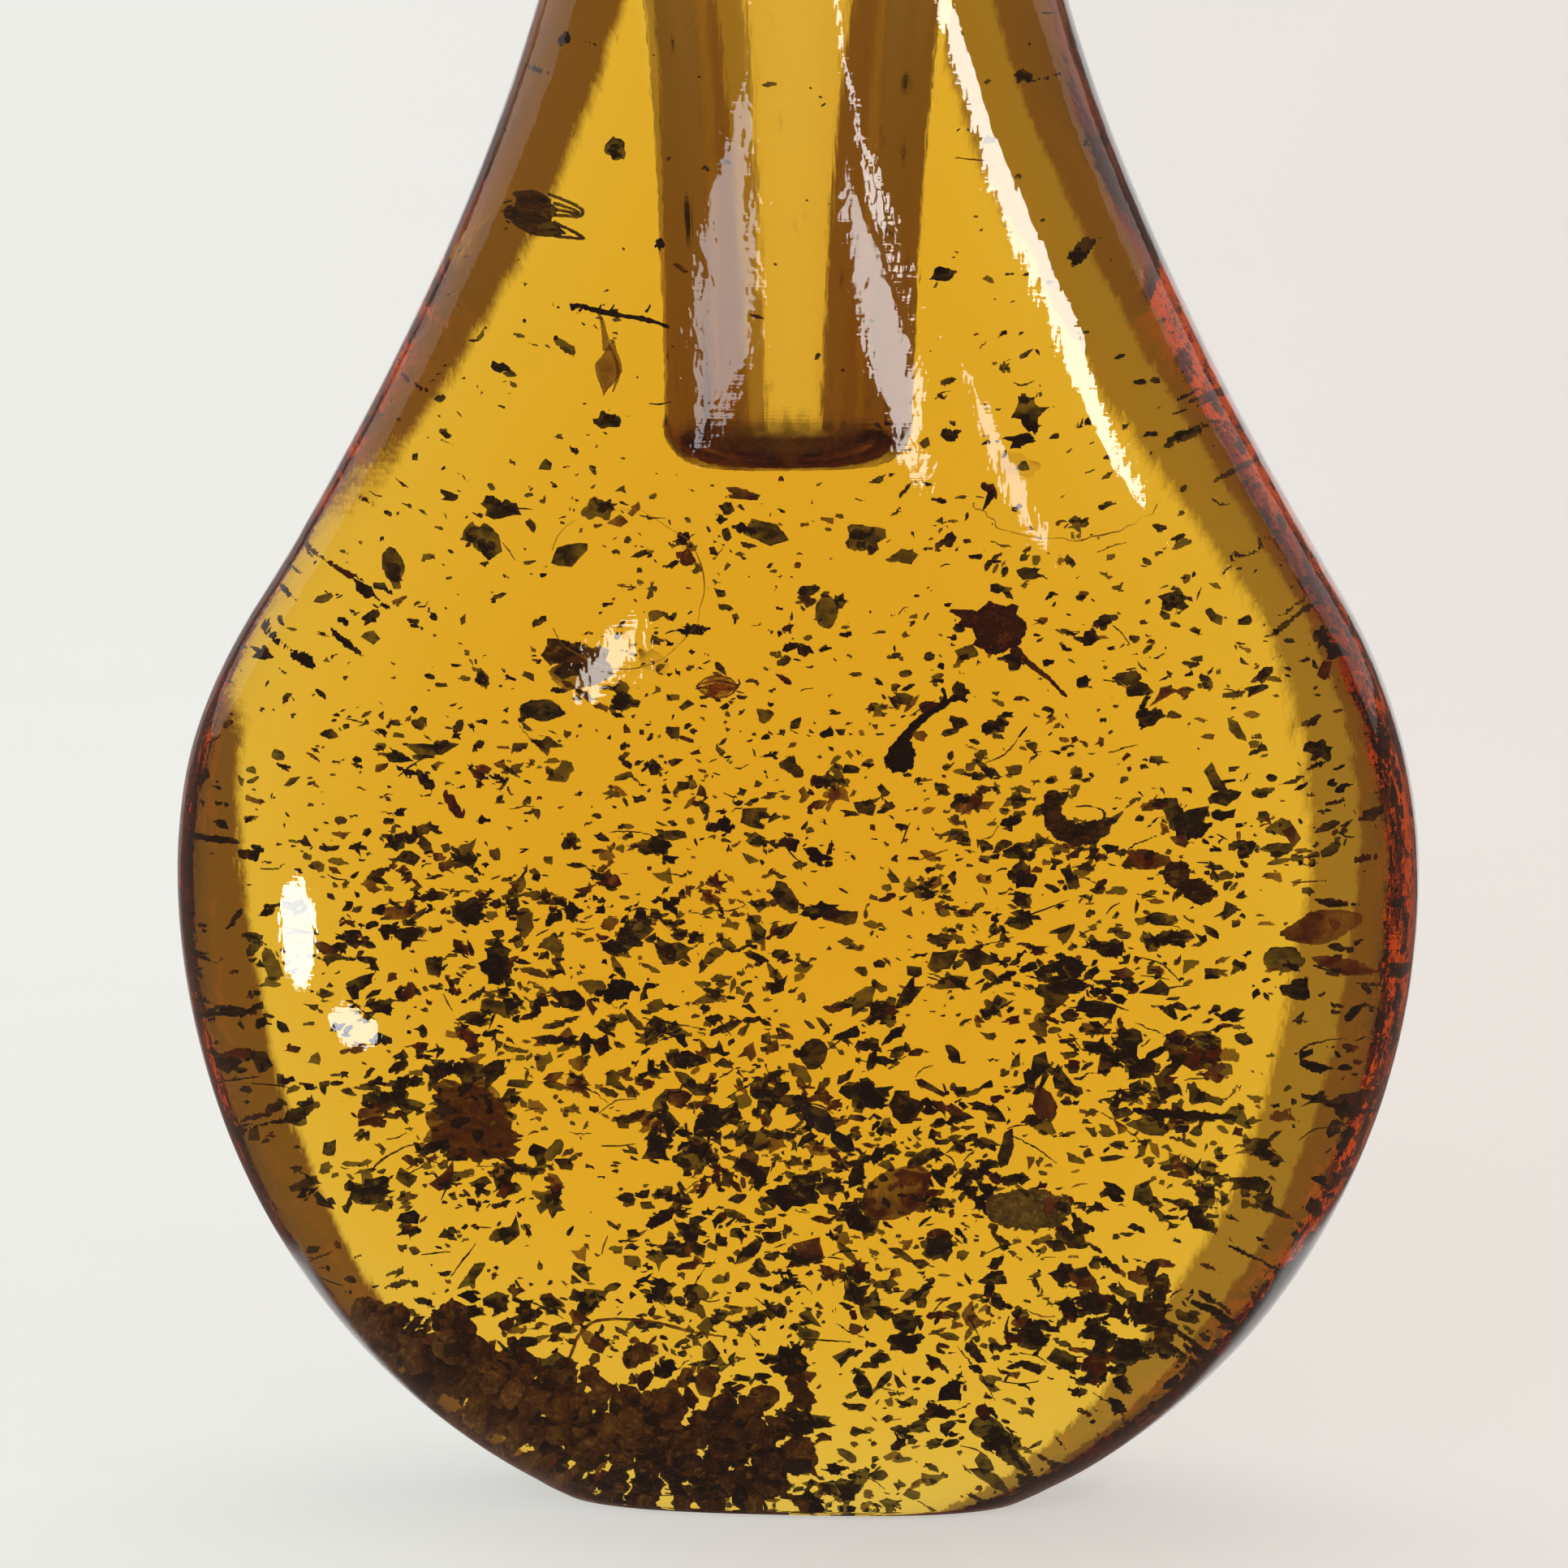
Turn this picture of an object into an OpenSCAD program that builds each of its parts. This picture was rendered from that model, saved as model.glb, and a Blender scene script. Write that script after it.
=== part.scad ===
// A flask ground from one block of clear natural amber, full of plant debris, with a blind
// drilled well down its neck and a pull-out stopper of cap, collar, cork and dowel.
// Millimetres. The foot stands on z = 0, the well runs down the Z axis and the front faces -Y.

/* [Flask] */
// Width of the bowl, side to side
bowl_w = 45; // [37:0.5:54]
// Depth of the bowl, front to back
bowl_d = 19; // [17:0.5:23]
// Height of the bowl's widest line above the foot
bowl_z = 22.6; // [19:0.2:27]
// Upright radius of the shoulder, from the widest line up
shoulder_r = 21; // [18:0.5:25]
// Angle of the shoulder where it turns into the flank
shoulder_a = 29; // [24:1:34]
// How square the bowl's cross-section is, 2 being an ellipse
bowl_square = 2.8; // [2:0.1:3.4]
// Width of the flat foot
foot_w = 17; // [12:0.5:22]
// Depth of the flat foot
foot_d = 10; // [7:0.5:13]
// Height of the mouth above the foot
mouth_z = 68; // [56:0.5:82]
// Outer diameter of the neck
neck_d = 16.2; // [13.4:0.2:19.4]
// Height of the straight part of the neck, with its lip
neck_h = 3; // [2:0.2:5]
// Radius of the lip's outer edge
lip_r = 1.1; // [0.5:0.1:1.6]

/* [Well] */
// Diameter of the drilled well
well_d = 8.4; // [7:0.2:10.2]
// Depth of the well below the mouth
well_depth = 30.8; // [25:0.2:37.2]
// Radius that the drill leaves in the well's bottom corner
well_corner = 1.5; // [0.5:0.1:2]
// Width of the chamfer at the mouth
mouth_chamfer = 0.5; // [0.2:0.1:0.8]

/* [Stopper] */
// Length of the cork
cork_len = 9; // [7:0.5:12]
// Gap between the cork and the well's wall, on the radius
cork_gap = 0.05; // [0.02:0.01:0.1]
// Length of the cork's tapered tip
cork_tip = 1.2; // [0.5:0.1:2]
// How far the cap stands out past the well's radius
cap_overhang = 3.2; // [2:0.1:3.8]
// Height of the domed cap
cap_h = 6.6; // [5:0.2:8]
// How far the collar stands out past the well's radius
collar_overhang = 2.5; // [1.6:0.1:3.6]
// Gap between the collar and the mouth when the stopper is home
seat_gap = 0.02; // [0.01:0.01:0.05]
// Thickness of the collar
collar_t = 1.3; // [0.8:0.1:2]
// Diameter of the dowel that holds the stopper together
dowel_d = 2.2; // [1.6:0.1:3]
// Length of the dowel inside the cork
dowel_in_cork = 6; // [4:0.5:6.5]
// Length of the dowel inside the cap
dowel_in_cap = 3.2; // [2:0.1:4]

/* [Debris] */
// Size of the chips of bark, as a share of their usual size
chip_scale = 1; // [0.7:0.05:1.2]
// Thickness of the chips of bark
chip_t = 0.3; // [0.15:0.05:0.5]
// Diameter of the finest root hair
hair_d = 0.18; // [0.12:0.02:0.3]

/* [Hidden] */

around = 60;        // points in each ring of the flask
low_rings = 20;     // rings from the foot to the widest line
shoulder_rings = 9;
flank_rings = 20;
lip_rings = 4;
depth_power = 2.2;  // how the bowl's depth falls off towards the foot
well_clear = 1.2;   // no piece of debris has its middle nearer to the well than this
round_fn = 96;
over = 1;           // how far a cutting solid runs past what it cuts

bowl_r = bowl_w / 2;
neck_r = neck_d / 2;
well_r = well_d / 2;
neck_z = mouth_z - neck_h;
well_floor = mouth_z - well_depth;
bowl_low = bowl_z / sqrt(1 - pow(foot_w / bowl_w, 2));   // semi-height of the lower ellipse
flank_z = bowl_z + shoulder_r * sin(shoulder_a);
flank_w = bowl_r * cos(shoulder_a);
flank_h = neck_z - flank_z;
flank_slope = -bowl_r / shoulder_r * tan(shoulder_a);
foot_share = pow(foot_d / bowl_d, depth_power);

cork_r = well_r - cork_gap;
cap_r = well_r + cap_overhang;
collar_r = well_r + collar_overhang;
dowel_r = dowel_d / 2;
collar_z = mouth_z + seat_gap;
cap_z = collar_z + collar_t;

// ---- The flask's outline -------------------------------------------------------------

// A smooth step from 0 to 1, level at both ends
function smooth(t) = let (c = min(1, max(0, t))) c * c * (3 - 2 * c);

// The flank: a cubic that leaves the shoulder at its slope and meets the neck upright
function flank(t) =
    (2 * t^3 - 3 * t^2 + 1) * flank_w
    + (t^3 - 2 * t^2 + t) * flank_h * flank_slope
    + (3 * t^2 - 2 * t^3) * neck_r;

function half_width(z) =
    z < bowl_z ? bowl_r * sqrt(1 - pow((bowl_z - z) / bowl_low, 2))
    : z < flank_z ? bowl_r * sqrt(1 - pow((z - bowl_z) / shoulder_r, 2))
    : z < neck_z ? flank((z - flank_z) / flank_h)
    : neck_r;

// 0 at the bowl's widest line and below, 1 at the neck
function neckness(z) = smooth((z - bowl_z) / (neck_z - bowl_z));

function half_depth(z) =
    z < bowl_z
    ? bowl_d / 2 * pow(1 - pow((bowl_z - z) / bowl_z, depth_power) * (1 - foot_share), 1 / depth_power)
    : bowl_d / 2 + (neck_r - bowl_d / 2) * neckness(z);

function squareness(z) = bowl_square + (2 - bowl_square) * neckness(z);

// The heights of the shell's rings, from the foot to the start of the lip
low_angle = asin(bowl_z / bowl_low);
ring_heights = concat(
    [0],
    [for (i = [1:low_rings - 1]) bowl_z - bowl_low * sin(low_angle * (1 - i / low_rings))],
    [for (i = [0:shoulder_rings - 1]) bowl_z + shoulder_r * sin(shoulder_a * i / shoulder_rings)],
    [for (i = [0:flank_rings]) flank_z + flank_h * i / flank_rings]
);

// One ring as [height, half width, half depth, squareness]
shell_rings = concat(
    [for (z = ring_heights) [z, half_width(z), half_depth(z), squareness(z)]],
    [for (i = [0:lip_rings]) let (a = 90 * i / lip_rings, r = neck_r - lip_r * (1 - cos(a)))
        [mouth_z - lip_r * (1 - sin(a)), r, r, 2]]
);

function rounded(c, power) = sign(c) * pow(abs(c), 2 / power);

function ring_points(ring) = [
    for (i = [0:around - 1]) let (a = 360 * i / around)
        [ring[1] * rounded(cos(a), ring[3]), ring[2] * rounded(sin(a), ring[3]), ring[0]]
];

// Triangles between stacked rings of n points each, with a flat cap at both ends
function tube_faces(rings, n) = concat(
    [[for (i = [0:n - 1]) i]],
    [for (j = [0:rings - 2], i = [0:n - 1]) let (k = (i + 1) % n) [j * n + i, (j + 1) * n + i, (j + 1) * n + k]],
    [for (j = [0:rings - 2], i = [0:n - 1]) let (k = (i + 1) % n) [j * n + i, (j + 1) * n + k, j * n + k]],
    [[for (i = [n - 1:-1:0]) (rings - 1) * n + i]]
);

module shell() {
    polyhedron(
        points = [for (ring = shell_rings) each ring_points(ring)],
        faces = tube_faces(len(shell_rings), around),
        convexity = 4
    );
}

// The well: a straight wall, a rounded bottom corner and a chamfered mouth
module well() {
    translate([0, 0, well_floor])
        rotate_extrude($fn = round_fn) {
            translate([0, well_corner]) square([well_r, well_depth - well_corner + over]);
            square([well_r - well_corner, well_corner * 2]);
            translate([well_r - well_corner, well_corner]) circle(well_corner, $fn = 48);
        }
    translate([0, 0, mouth_z - mouth_chamfer])
        cylinder(r1 = well_r, r2 = well_r + mouth_chamfer + over, h = mouth_chamfer + over, $fn = round_fn);
}

module amber_flask() color("goldenrod") difference() {
    shell();
    well();
}

// ---- The stopper ---------------------------------------------------------------------

// The dowel's own thickness over a length: the dowel itself, and the holes it is glued into
module dowel_bar(from, length) {
    translate([0, 0, from]) cylinder(r = dowel_r, h = length, $fn = round_fn);
}

module stopper_cap() color("goldenrod") {
    dome_r = (cap_r * cap_r + cap_h * cap_h) / (2 * cap_h);
    difference() {
        intersection() {
            translate([0, 0, cap_z + cap_h - dome_r]) sphere(dome_r, $fn = round_fn);
            translate([0, 0, cap_z]) cylinder(r = cap_r + over, h = cap_h + over, $fn = round_fn);
        }
        dowel_bar(cap_z - over, dowel_in_cap + over);
    }
}

module stopper_collar() color("saddlebrown") difference() {
    translate([0, 0, collar_z])
        rotate_extrude($fn = round_fn) {
            square([collar_r - collar_t / 2, collar_t]);
            translate([collar_r - collar_t / 2, collar_t / 2]) circle(collar_t / 2, $fn = 32);
        }
    dowel_bar(collar_z - over, collar_t + 2 * over);
}

module stopper_cork() color("burlywood") difference() {
    translate([0, 0, collar_z - cork_len]) {
        cylinder(r1 = cork_r - cork_tip / 3, r2 = cork_r, h = cork_tip, $fn = round_fn);
        translate([0, 0, cork_tip]) cylinder(r = cork_r, h = cork_len - cork_tip, $fn = round_fn);
    }
    dowel_bar(collar_z - dowel_in_cork, dowel_in_cork + over);
}

module stopper_dowel() color("wheat")
    dowel_bar(collar_z - dowel_in_cork, dowel_in_cork + collar_t + dowel_in_cap);

// ---- Debris set in the amber ---------------------------------------------------------

// A place inside the flask: share of the half width, share of the mouth's height, share of the
// half depth there, minus towards the front. Beside the well it is moved clear of the wall.
function spot(p) = let (
    z = p[1] * mouth_z,
    power = squareness(z),
    x = p[0] * half_width(z),
    y = p[2] * half_depth(z) * pow(1 - pow(abs(p[0]), power), 1 / power),
    least = z > well_floor - well_clear ? well_r + well_clear : 0,
    push = max(1, least / norm([x, y]))
) [x * push, y * push, z];

// An uneven outline of n points in a box of w by l
function ragged(w, l, n, seed) = let (r = rands(0.55, 1, n, seed))
    [for (i = [0:n - 1]) let (a = 360 * i / n) [w / 2 * r[i] * cos(a), l / 2 * r[i] * sin(a)]];

// A flat chip that faces the front, turned in its own plane and then leaned back
module chip(w, l, seed, turn, lean = 0, t = chip_t) {
    rotate([90 + lean, 0, 0]) rotate([0, 0, turn])
        translate([0, 0, -t / 2]) linear_extrude(t) polygon(ragged(w, l, 9, seed));
}

// Chips from a list of [place, width, length, turn]
module chips(list, seed) {
    for (i = [0:len(list) - 1])
        translate(spot(list[i][0]))
            chip(list[i][1] * chip_scale, list[i][2] * chip_scale, seed + i, list[i][3], 50 * (i % 3) - 50);
}

// An uneven lump with the given overall size
module lump(size, seed, rows = 6, cols = 9) {
    bumps = rands(0.72, 1, rows * cols, seed);
    rings = [for (j = [0:rows - 1]) let (a = -75 + 150 * j / (rows - 1))
        [for (i = [0:cols - 1]) let (b = 360 * i / cols, r = bumps[j * cols + i])
            [size[0] / 2 * r * cos(a) * cos(b), size[1] / 2 * r * cos(a) * sin(b), size[2] / 2 * sin(a)]]];
    polyhedron(points = [for (ring = rings) each ring], faces = tube_faces(rows, cols));
}

// A seed, narrow at both ends, lying along Z
module spindle(l, d, steps = 10) {
    rotate_extrude($fn = 48) polygon(concat(
        [[0, -l / 2]],
        [for (i = [0:steps]) let (t = 2 * i / steps - 1) [d / 2 * (1 - 0.85 * t * t), t * l / 2]],
        [[0, l / 2]]
    ));
}

// A round pellet, lying along Z
module capsule(l, d) {
    cylinder(d = d, h = l - d, center = true, $fn = 32);
    for (end = [-1, 1]) translate([0, 0, end * (l - d) / 2]) sphere(d = d, $fn = 32);
}

// A bent stalk through the given points, thinner at every second one
module stalk(points, d, n = 8) {
    last = len(points) - 1;
    rings = [for (i = [0:last]) let (
        v = points[min(i + 1, last)] - points[max(i - 1, 0)],
        along = v / norm(v),
        side = cross(along, [0, 1, 0]),
        across = side / norm(side),
        front = cross(along, across),
        r = d / 2 * (i % 2 == 0 ? 1 : 0.85)
    ) [for (j = [0:n - 1]) points[i] + r * (cos(360 * j / n) * across + sin(360 * j / n) * front)]];
    polyhedron(points = [for (ring = rings) each ring], faces = tube_faces(last + 1, n));
}

// A twig through the given places in the flask
module twig(places, d) {
    stalk([for (p = places) spot(p)], d);
}

module wing_case() color("#4a3514") translate(spot([-0.66, 0.676, -0.3])) {
    lump([1.9, 1.2, 1.9], 11);
    for (side = [-1, 1])
        translate([0.9, 0.1 * side, side * 0.6]) chip(2.8, 0.8, 12 + side, 12 * side, 0, 0.35);
}

module neck_twig() color("#3a2008")
    twig([[-0.5, 0.632, -0.7], [-0.45, 0.631, -0.7], [-0.4, 0.628, -0.7], [-0.35, 0.627, -0.7],
          [-0.3, 0.624, -0.71], [-0.25, 0.622, -0.72]], 0.3);

module bud_scale() color("#7a3a0c") translate(spot([-0.38, 0.603, -0.6])) {
    rotate([0, 12, 0]) spindle(2.6, 1.1);
    stalk([[0.1, 0, 0.8], [0, 0, 1.2], [-0.15, 0, 1.6], [-0.35, 0, 1.9]], 0.2);
}

module stalked_husk() color("#5a3026") {
    translate(spot([0.37, 0.467, -0.35])) rotate([90, 0, 0])
        translate([0, 0, -0.5]) linear_extrude(1) polygon(ragged(2.6, 2.7, 13, 31));
    twig([[0.38, 0.463, -0.35], [0.4, 0.455, -0.35], [0.43, 0.442, -0.35], [0.46, 0.43, -0.33]], 0.28);
    translate(spot([0.32, 0.47, -0.35])) chip(2.2, 1, 33, 20);
}

module orange_seed_coat() color("#b8560a") translate(spot([-0.1, 0.437, -0.5]))
    rotate([0, 80, 0]) spindle(1.6, 0.9);

module dark_seed() color("#2e2a12") translate(spot([-0.38, 0.424, -0.55]))
    rotate([0, 100, 0]) spindle(1.7, 0.85);

module brown_leaf_scrap() color("#6a3c12") translate(spot([-0.36, 0.451, -0.1])) {
    chip(2.4, 1.8, 41, 15, 20);
    translate([0.7, 0.1, -0.7]) chip(2, 1.7, 43, 60, -10);
}

module hooked_twig() color("#3c2a16") {
    twig([[0.18, 0.398, -0.2], [0.22, 0.413, -0.2], [0.26, 0.425, -0.2], [0.3, 0.433, -0.2]], 0.34);
    twig([[0.26, 0.424, -0.2], [0.255, 0.43, -0.2], [0.25, 0.436, -0.2]], 0.26);
    translate(spot([0.18, 0.398, -0.2])) lump([1.1, 0.7, 1.2], 51);
}

// A grub of round segments, curled over three quarters of its length
module curled_grub() color("#46300f") translate(spot([0.45, 0.372, 0.1]))
    for (i = [0:8]) let (a = 160 + 22 * i)
        translate([1.1 * cos(a), 0, 1.25 * sin(a)]) sphere(d = 0.95 - 0.06 * abs(i - 3), $fn = 32);

module two_lobed_husk() color("#4a321a") translate(spot([0.59, 0.338, -0.1])) {
    lump([1.1, 0.8, 1.1], 61);
    translate([0.75, 0, -0.6]) lump([1.3, 0.9, 1], 63);
}

module wood_flake() color("#5a3a12") translate(spot([-0.53, 0.209, -0.05])) {
    chip(4.6, 3.6, 71, 10, 8, 0.5);
    translate([1.5, 0.1, 0.3]) chip(3, 1.8, 73, -20, 4, 0.4);
    translate([-1, 0.1, -0.9]) chip(2.4, 1.9, 75, 35, 12, 0.4);
}

module brown_seed() color("#8a4a14") translate(spot([0.2, 0.176, -0.35]))
    rotate([0, 62, 0]) lump([2, 1.6, 2.9], 81, 8, 12);

module grey_pellet() color("#6b6340") translate(spot([0.43, 0.17, -0.45]))
    rotate([0, 88, 0]) lump([1.8, 1.5, 3.4], 83, 8, 12);

module oval_pellets() color("#241c08")
    for (p = [[-0.72, 0.17, -0.3, 88], [0.48, 0.056, -0.2, 70], [0.06, 0.47, 0.3, 20], [0.72, 0.292, 0.35, 60],
              [-0.68, 0.489, -0.1, 10], [0.03, 0.24, 0.45, 40]])
        translate(spot(p)) rotate([0, p[3], 0]) capsule(1.25, 0.62);

module lower_twig() color("#33220a")
    twig([[0.56, 0.221, -0.3], [0.61, 0.218, -0.3], [0.67, 0.217, -0.3], [0.73, 0.214, -0.28]], 0.36);

module root_hair() color("#6a2c0a")
    twig([[-0.47, 0.083, -0.4], [-0.43, 0.094, -0.4], [-0.4, 0.105, -0.4], [-0.33, 0.109, -0.4],
          [-0.22, 0.107, -0.4], [-0.12, 0.1, -0.4]], hair_d);

// The heap of bark dust and rotten wood low on the left
module bark_crust() color("#4a3c30") {
    translate(spot([-0.8, 0.1, 0])) rotate([0, 50, 0]) lump([4.4, 2.8, 2.4], 91);
    translate(spot([-0.72, 0.077, 0])) rotate([0, 35, 0]) lump([4.4, 3.4, 2.4], 92);
    translate(spot([-0.58, 0.053, 0])) rotate([0, 25, 0]) lump([5, 3.6, 2.4], 93);
    translate(spot([-0.36, 0.037, 0])) rotate([0, 12, 0]) lump([5.4, 3.6, 2.2], 94);
    translate(spot([-0.1, 0.031, 0])) lump([5, 3, 1.8], 95);
}

module rim_seed() color("#7a3c18") translate(spot([0.8, 0.312, -0.2]))
    rotate([0, 75, 0]) spindle(2.7, 1.3);

module lower_cone_scale() color("#57401a") translate(spot([0.7, 0.122, -0.2])) {
    rotate([0, -12, 0]) spindle(3.4, 1.2);
    translate([-0.5, 0, 0.2]) chip(1.4, 2.6, 97, 20);
}

module neck_chips() color("#2c2008") chips([
    [[-0.46, 0.711, -0.6], 0.9, 1.4, 20], [[-0.63, 0.765, -0.2], 0.8, 0.8, 0], [[0.63, 0.745, -0.1], 1, 0.8, 30],
    [[0.76, 0.707, 0.1], 1.2, 0.6, 10], [[0.59, 0.647, 0.3], 0.9, 1.6, 15], [[-0.55, 0.74, 0.5], 0.5, 0.6, 50],
    [[0.5, 0.6, -0.6], 0.5, 0.6, 70], [[-0.3, 0.665, -0.85], 0.5, 0.7, 0]
], 110);

module shoulder_chips() color("#2a2610") chips([
    [[-0.53, 0.524, -0.3], 1.5, 1.5, 10], [[-0.56, 0.507, -0.1], 2.1, 2, 40], [[-0.37, 0.523, 0.2], 1.7, 1.6, 70],
    [[0.17, 0.513, -0.5], 2, 1.9, 20], [[-0.68, 0.489, -0.5], 0.9, 1.3, 10], [[-0.21, 0.507, 0.4], 1, 1, 0],
    [[-0.38, 0.568, 0.4], 1.3, 1.4, 30], [[0.49, 0.572, -0.1], 1.6, 2.2, -10], [[0.44, 0.557, 0.2], 1, 1.3, 60],
    [[0.66, 0.545, 0.4], 1, 0.7, 30], [[0.3, 0.56, 0.5], 0.8, 0.8, 0], [[0.56, 0.52, -0.6], 1, 0.8, 45]
], 130);

module middle_chips() color("#30240c") chips([
    [[0.16, 0.426, -0.5], 1, 0.9, 0], [[0.84, 0.449, -0.1], 1.1, 0.8, 50], [[-0.17, 0.461, 0.3], 1.7, 0.8, 10],
    [[-0.27, 0.424, 0.1], 1.2, 1.4, 60], [[-0.21, 0.391, -0.2], 1.2, 1.2, 30], [[0.35, 0.345, 0.4], 1.8, 0.9, 20],
    [[-0.22, 0.351, -0.1], 2.1, 0.9, 5], [[-0.35, 0.347, 0.5], 1, 1, 40], [[-0.6, 0.353, -0.5], 1.1, 1, 30],
    [[0.54, 0.412, 0.5], 1.3, 1, 45], [[0.32, 0.412, 0.2], 1.6, 1, 10], [[0.66, 0.477, -0.3], 1.4, 1.7, 50],
    [[0.09, 0.477, 0.1], 0.8, 0.9, 0], [[0.82, 0.401, -0.3], 1.4, 1.3, 30], [[-0.5, 0.43, 0.4], 0.8, 1.1, 15],
    [[0.5, 0.46, 0.4], 1.1, 0.8, 35]
], 150);

module lower_chips() color("#32260e") chips([
    [[-0.5, 0.316, -0.1], 2.2, 2, 30], [[-0.46, 0.286, 0.1], 1.6, 3, 15], [[0.14, 0.226, -0.1], 2.8, 1.9, 20],
    [[-0.16, 0.19, 0.2], 2.3, 2.2, 45], [[0.02, 0.175, -0.2], 2.7, 1.5, 30], [[-0.41, 0.168, -0.2], 2.4, 1.6, 45],
    [[-0.28, 0.272, 0.4], 1.6, 1.1, 10], [[-0.16, 0.299, -0.4], 1.6, 1, 0], [[0.06, 0.316, 0.2], 2.8, 0.9, 10],
    [[0.58, 0.303, 0.2], 1.4, 0.9, 20], [[0.54, 0.256, -0.4], 1.2, 1.9, 20], [[0.13, 0.26, 0.5], 2.4, 1.5, 40],
    [[-0.64, 0.264, 0.2], 1.7, 1.2, 20], [[0.38, 0.32, -0.5], 1.5, 0.9, 5], [[0.48, 0.294, 0.5], 1.6, 1.1, 60],
    [[0.33, 0.272, -0.3], 1.1, 1.6, 30], [[-0.7, 0.2, 0.1], 1, 0.8, 0], [[0.72, 0.2, 0.4], 1, 1.5, 20]
], 170);

module base_chips() color("#2c2210") chips([
    [[0.03, 0.143, -0.3], 2.2, 1.3, 10], [[0.26, 0.147, 0.3], 1.9, 1.3, 35], [[-0.26, 0.121, 0.3], 1.7, 1.2, 50],
    [[0.25, 0.1, -0.2], 2.3, 0.7, 45], [[-0.02, 0.087, 0.3], 2.8, 1.6, 10], [[-0.27, 0.083, 0.2], 1.1, 1.5, 20],
    [[0.59, 0.104, 0.3], 1.7, 1.2, 15], [[0.5, 0.052, 0.4], 1.8, 1.1, 25], [[0.34, 0.063, 0.1], 1.6, 1, 0],
    [[0.68, 0.082, 0.1], 1, 0.8, 30], [[0.06, 0.058, -0.2], 3, 0.8, 15], [[0.52, 0.137, -0.5], 1.1, 1.4, 40]
], 190);

amber_flask();
stopper_cap();
stopper_collar();
stopper_cork();
stopper_dowel();
wing_case();
neck_twig();
bud_scale();
stalked_husk();
orange_seed_coat();
dark_seed();
brown_leaf_scrap();
hooked_twig();
curled_grub();
two_lobed_husk();
wood_flake();
brown_seed();
grey_pellet();
oval_pellets();
lower_twig();
root_hair();
bark_crust();
rim_seed();
lower_cone_scale();
neck_chips();
shoulder_chips();
middle_chips();
lower_chips();
base_chips();
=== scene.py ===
import math
import random

import bmesh
import bpy
import numpy as np
from mathutils import Euler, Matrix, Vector, noise


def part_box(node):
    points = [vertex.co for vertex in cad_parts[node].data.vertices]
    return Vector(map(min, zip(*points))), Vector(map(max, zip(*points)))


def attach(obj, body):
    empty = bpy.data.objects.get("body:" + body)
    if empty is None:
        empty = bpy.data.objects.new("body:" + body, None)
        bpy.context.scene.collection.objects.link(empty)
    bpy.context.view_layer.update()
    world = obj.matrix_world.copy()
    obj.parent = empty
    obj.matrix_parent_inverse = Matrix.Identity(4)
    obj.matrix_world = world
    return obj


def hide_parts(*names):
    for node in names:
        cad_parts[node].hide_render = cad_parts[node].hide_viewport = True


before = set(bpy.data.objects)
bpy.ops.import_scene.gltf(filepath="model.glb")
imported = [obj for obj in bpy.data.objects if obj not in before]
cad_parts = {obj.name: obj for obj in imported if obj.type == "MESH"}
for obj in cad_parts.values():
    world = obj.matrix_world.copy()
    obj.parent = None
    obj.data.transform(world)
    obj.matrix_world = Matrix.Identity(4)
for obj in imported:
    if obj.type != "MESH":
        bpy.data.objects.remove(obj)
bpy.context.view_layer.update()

mm = 0.001


# shader helper

class Wire:
    # one shader socket; arithmetic on it adds the nodes that do the arithmetic
    def __init__(self, tree, socket):
        self.tree = tree
        self.socket = socket

    def maths(self, operation, first, second):
        return addNode(self.tree, "ShaderNodeMath", {"operation": operation}, {0: first, 1: second})

    def __add__(self, other):
        return self.maths("ADD", self, other)

    def __radd__(self, other):
        return self.maths("ADD", other, self)

    def __sub__(self, other):
        return self.maths("SUBTRACT", self, other)

    def __rsub__(self, other):
        return self.maths("SUBTRACT", other, self)

    def __mul__(self, other):
        return self.maths("MULTIPLY", self, other)

    def __rmul__(self, other):
        return self.maths("MULTIPLY", other, self)

    def __truediv__(self, other):
        return self.maths("DIVIDE", self, other)

    def __rtruediv__(self, other):
        return self.maths("DIVIDE", other, self)

    def __pow__(self, other):
        return self.maths("POWER", self, other)

    def __rpow__(self, other):
        return self.maths("POWER", other, self)

    def least(self, other):
        return self.maths("MINIMUM", self, other)

    def most(self, other):
        return self.maths("MAXIMUM", self, other)

    # 0 below low, 1 above high, smooth between
    def rise(self, low, high):
        return addNode(self.tree, "ShaderNodeMapRange", {"interpolation_type": "SMOOTHSTEP"},
                       {"Value": self, "From Min": low, "From Max": high})

    # a colour between two, this socket being the share of the second
    def blend(self, first, second):
        return addNode(self.tree, "ShaderNodeMix", {"data_type": "RGBA"}, {0: self, 6: first, 7: second}, 2)

    # the vector stretched along each axis
    def stretched(self, factors):
        return addNode(self.tree, "ShaderNodeVectorMath", {"operation": "MULTIPLY"}, {0: self, 1: factors})

    def part(self, axis):
        split = addNode(self.tree, "ShaderNodeSeparateXYZ", {}, {0: self})
        return Wire(self.tree, split.socket.node.outputs[axis])


# any node: its type, its settings, then the values or links of its sockets
def addNode(tree, kind, settings=None, values=None, out=0):
    node = tree.nodes.new(kind)
    for name, value in (settings or {}).items():
        setattr(node, name, value)
    for name, value in (values or {}).items():
        socket = node.inputs[name]
        if isinstance(value, Wire):
            tree.links.new(value.socket, socket)
        elif socket.type == "RGBA":
            socket.default_value = (*value, 1)
        else:
            socket.default_value = value
    return Wire(tree, node.outputs[out])


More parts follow.
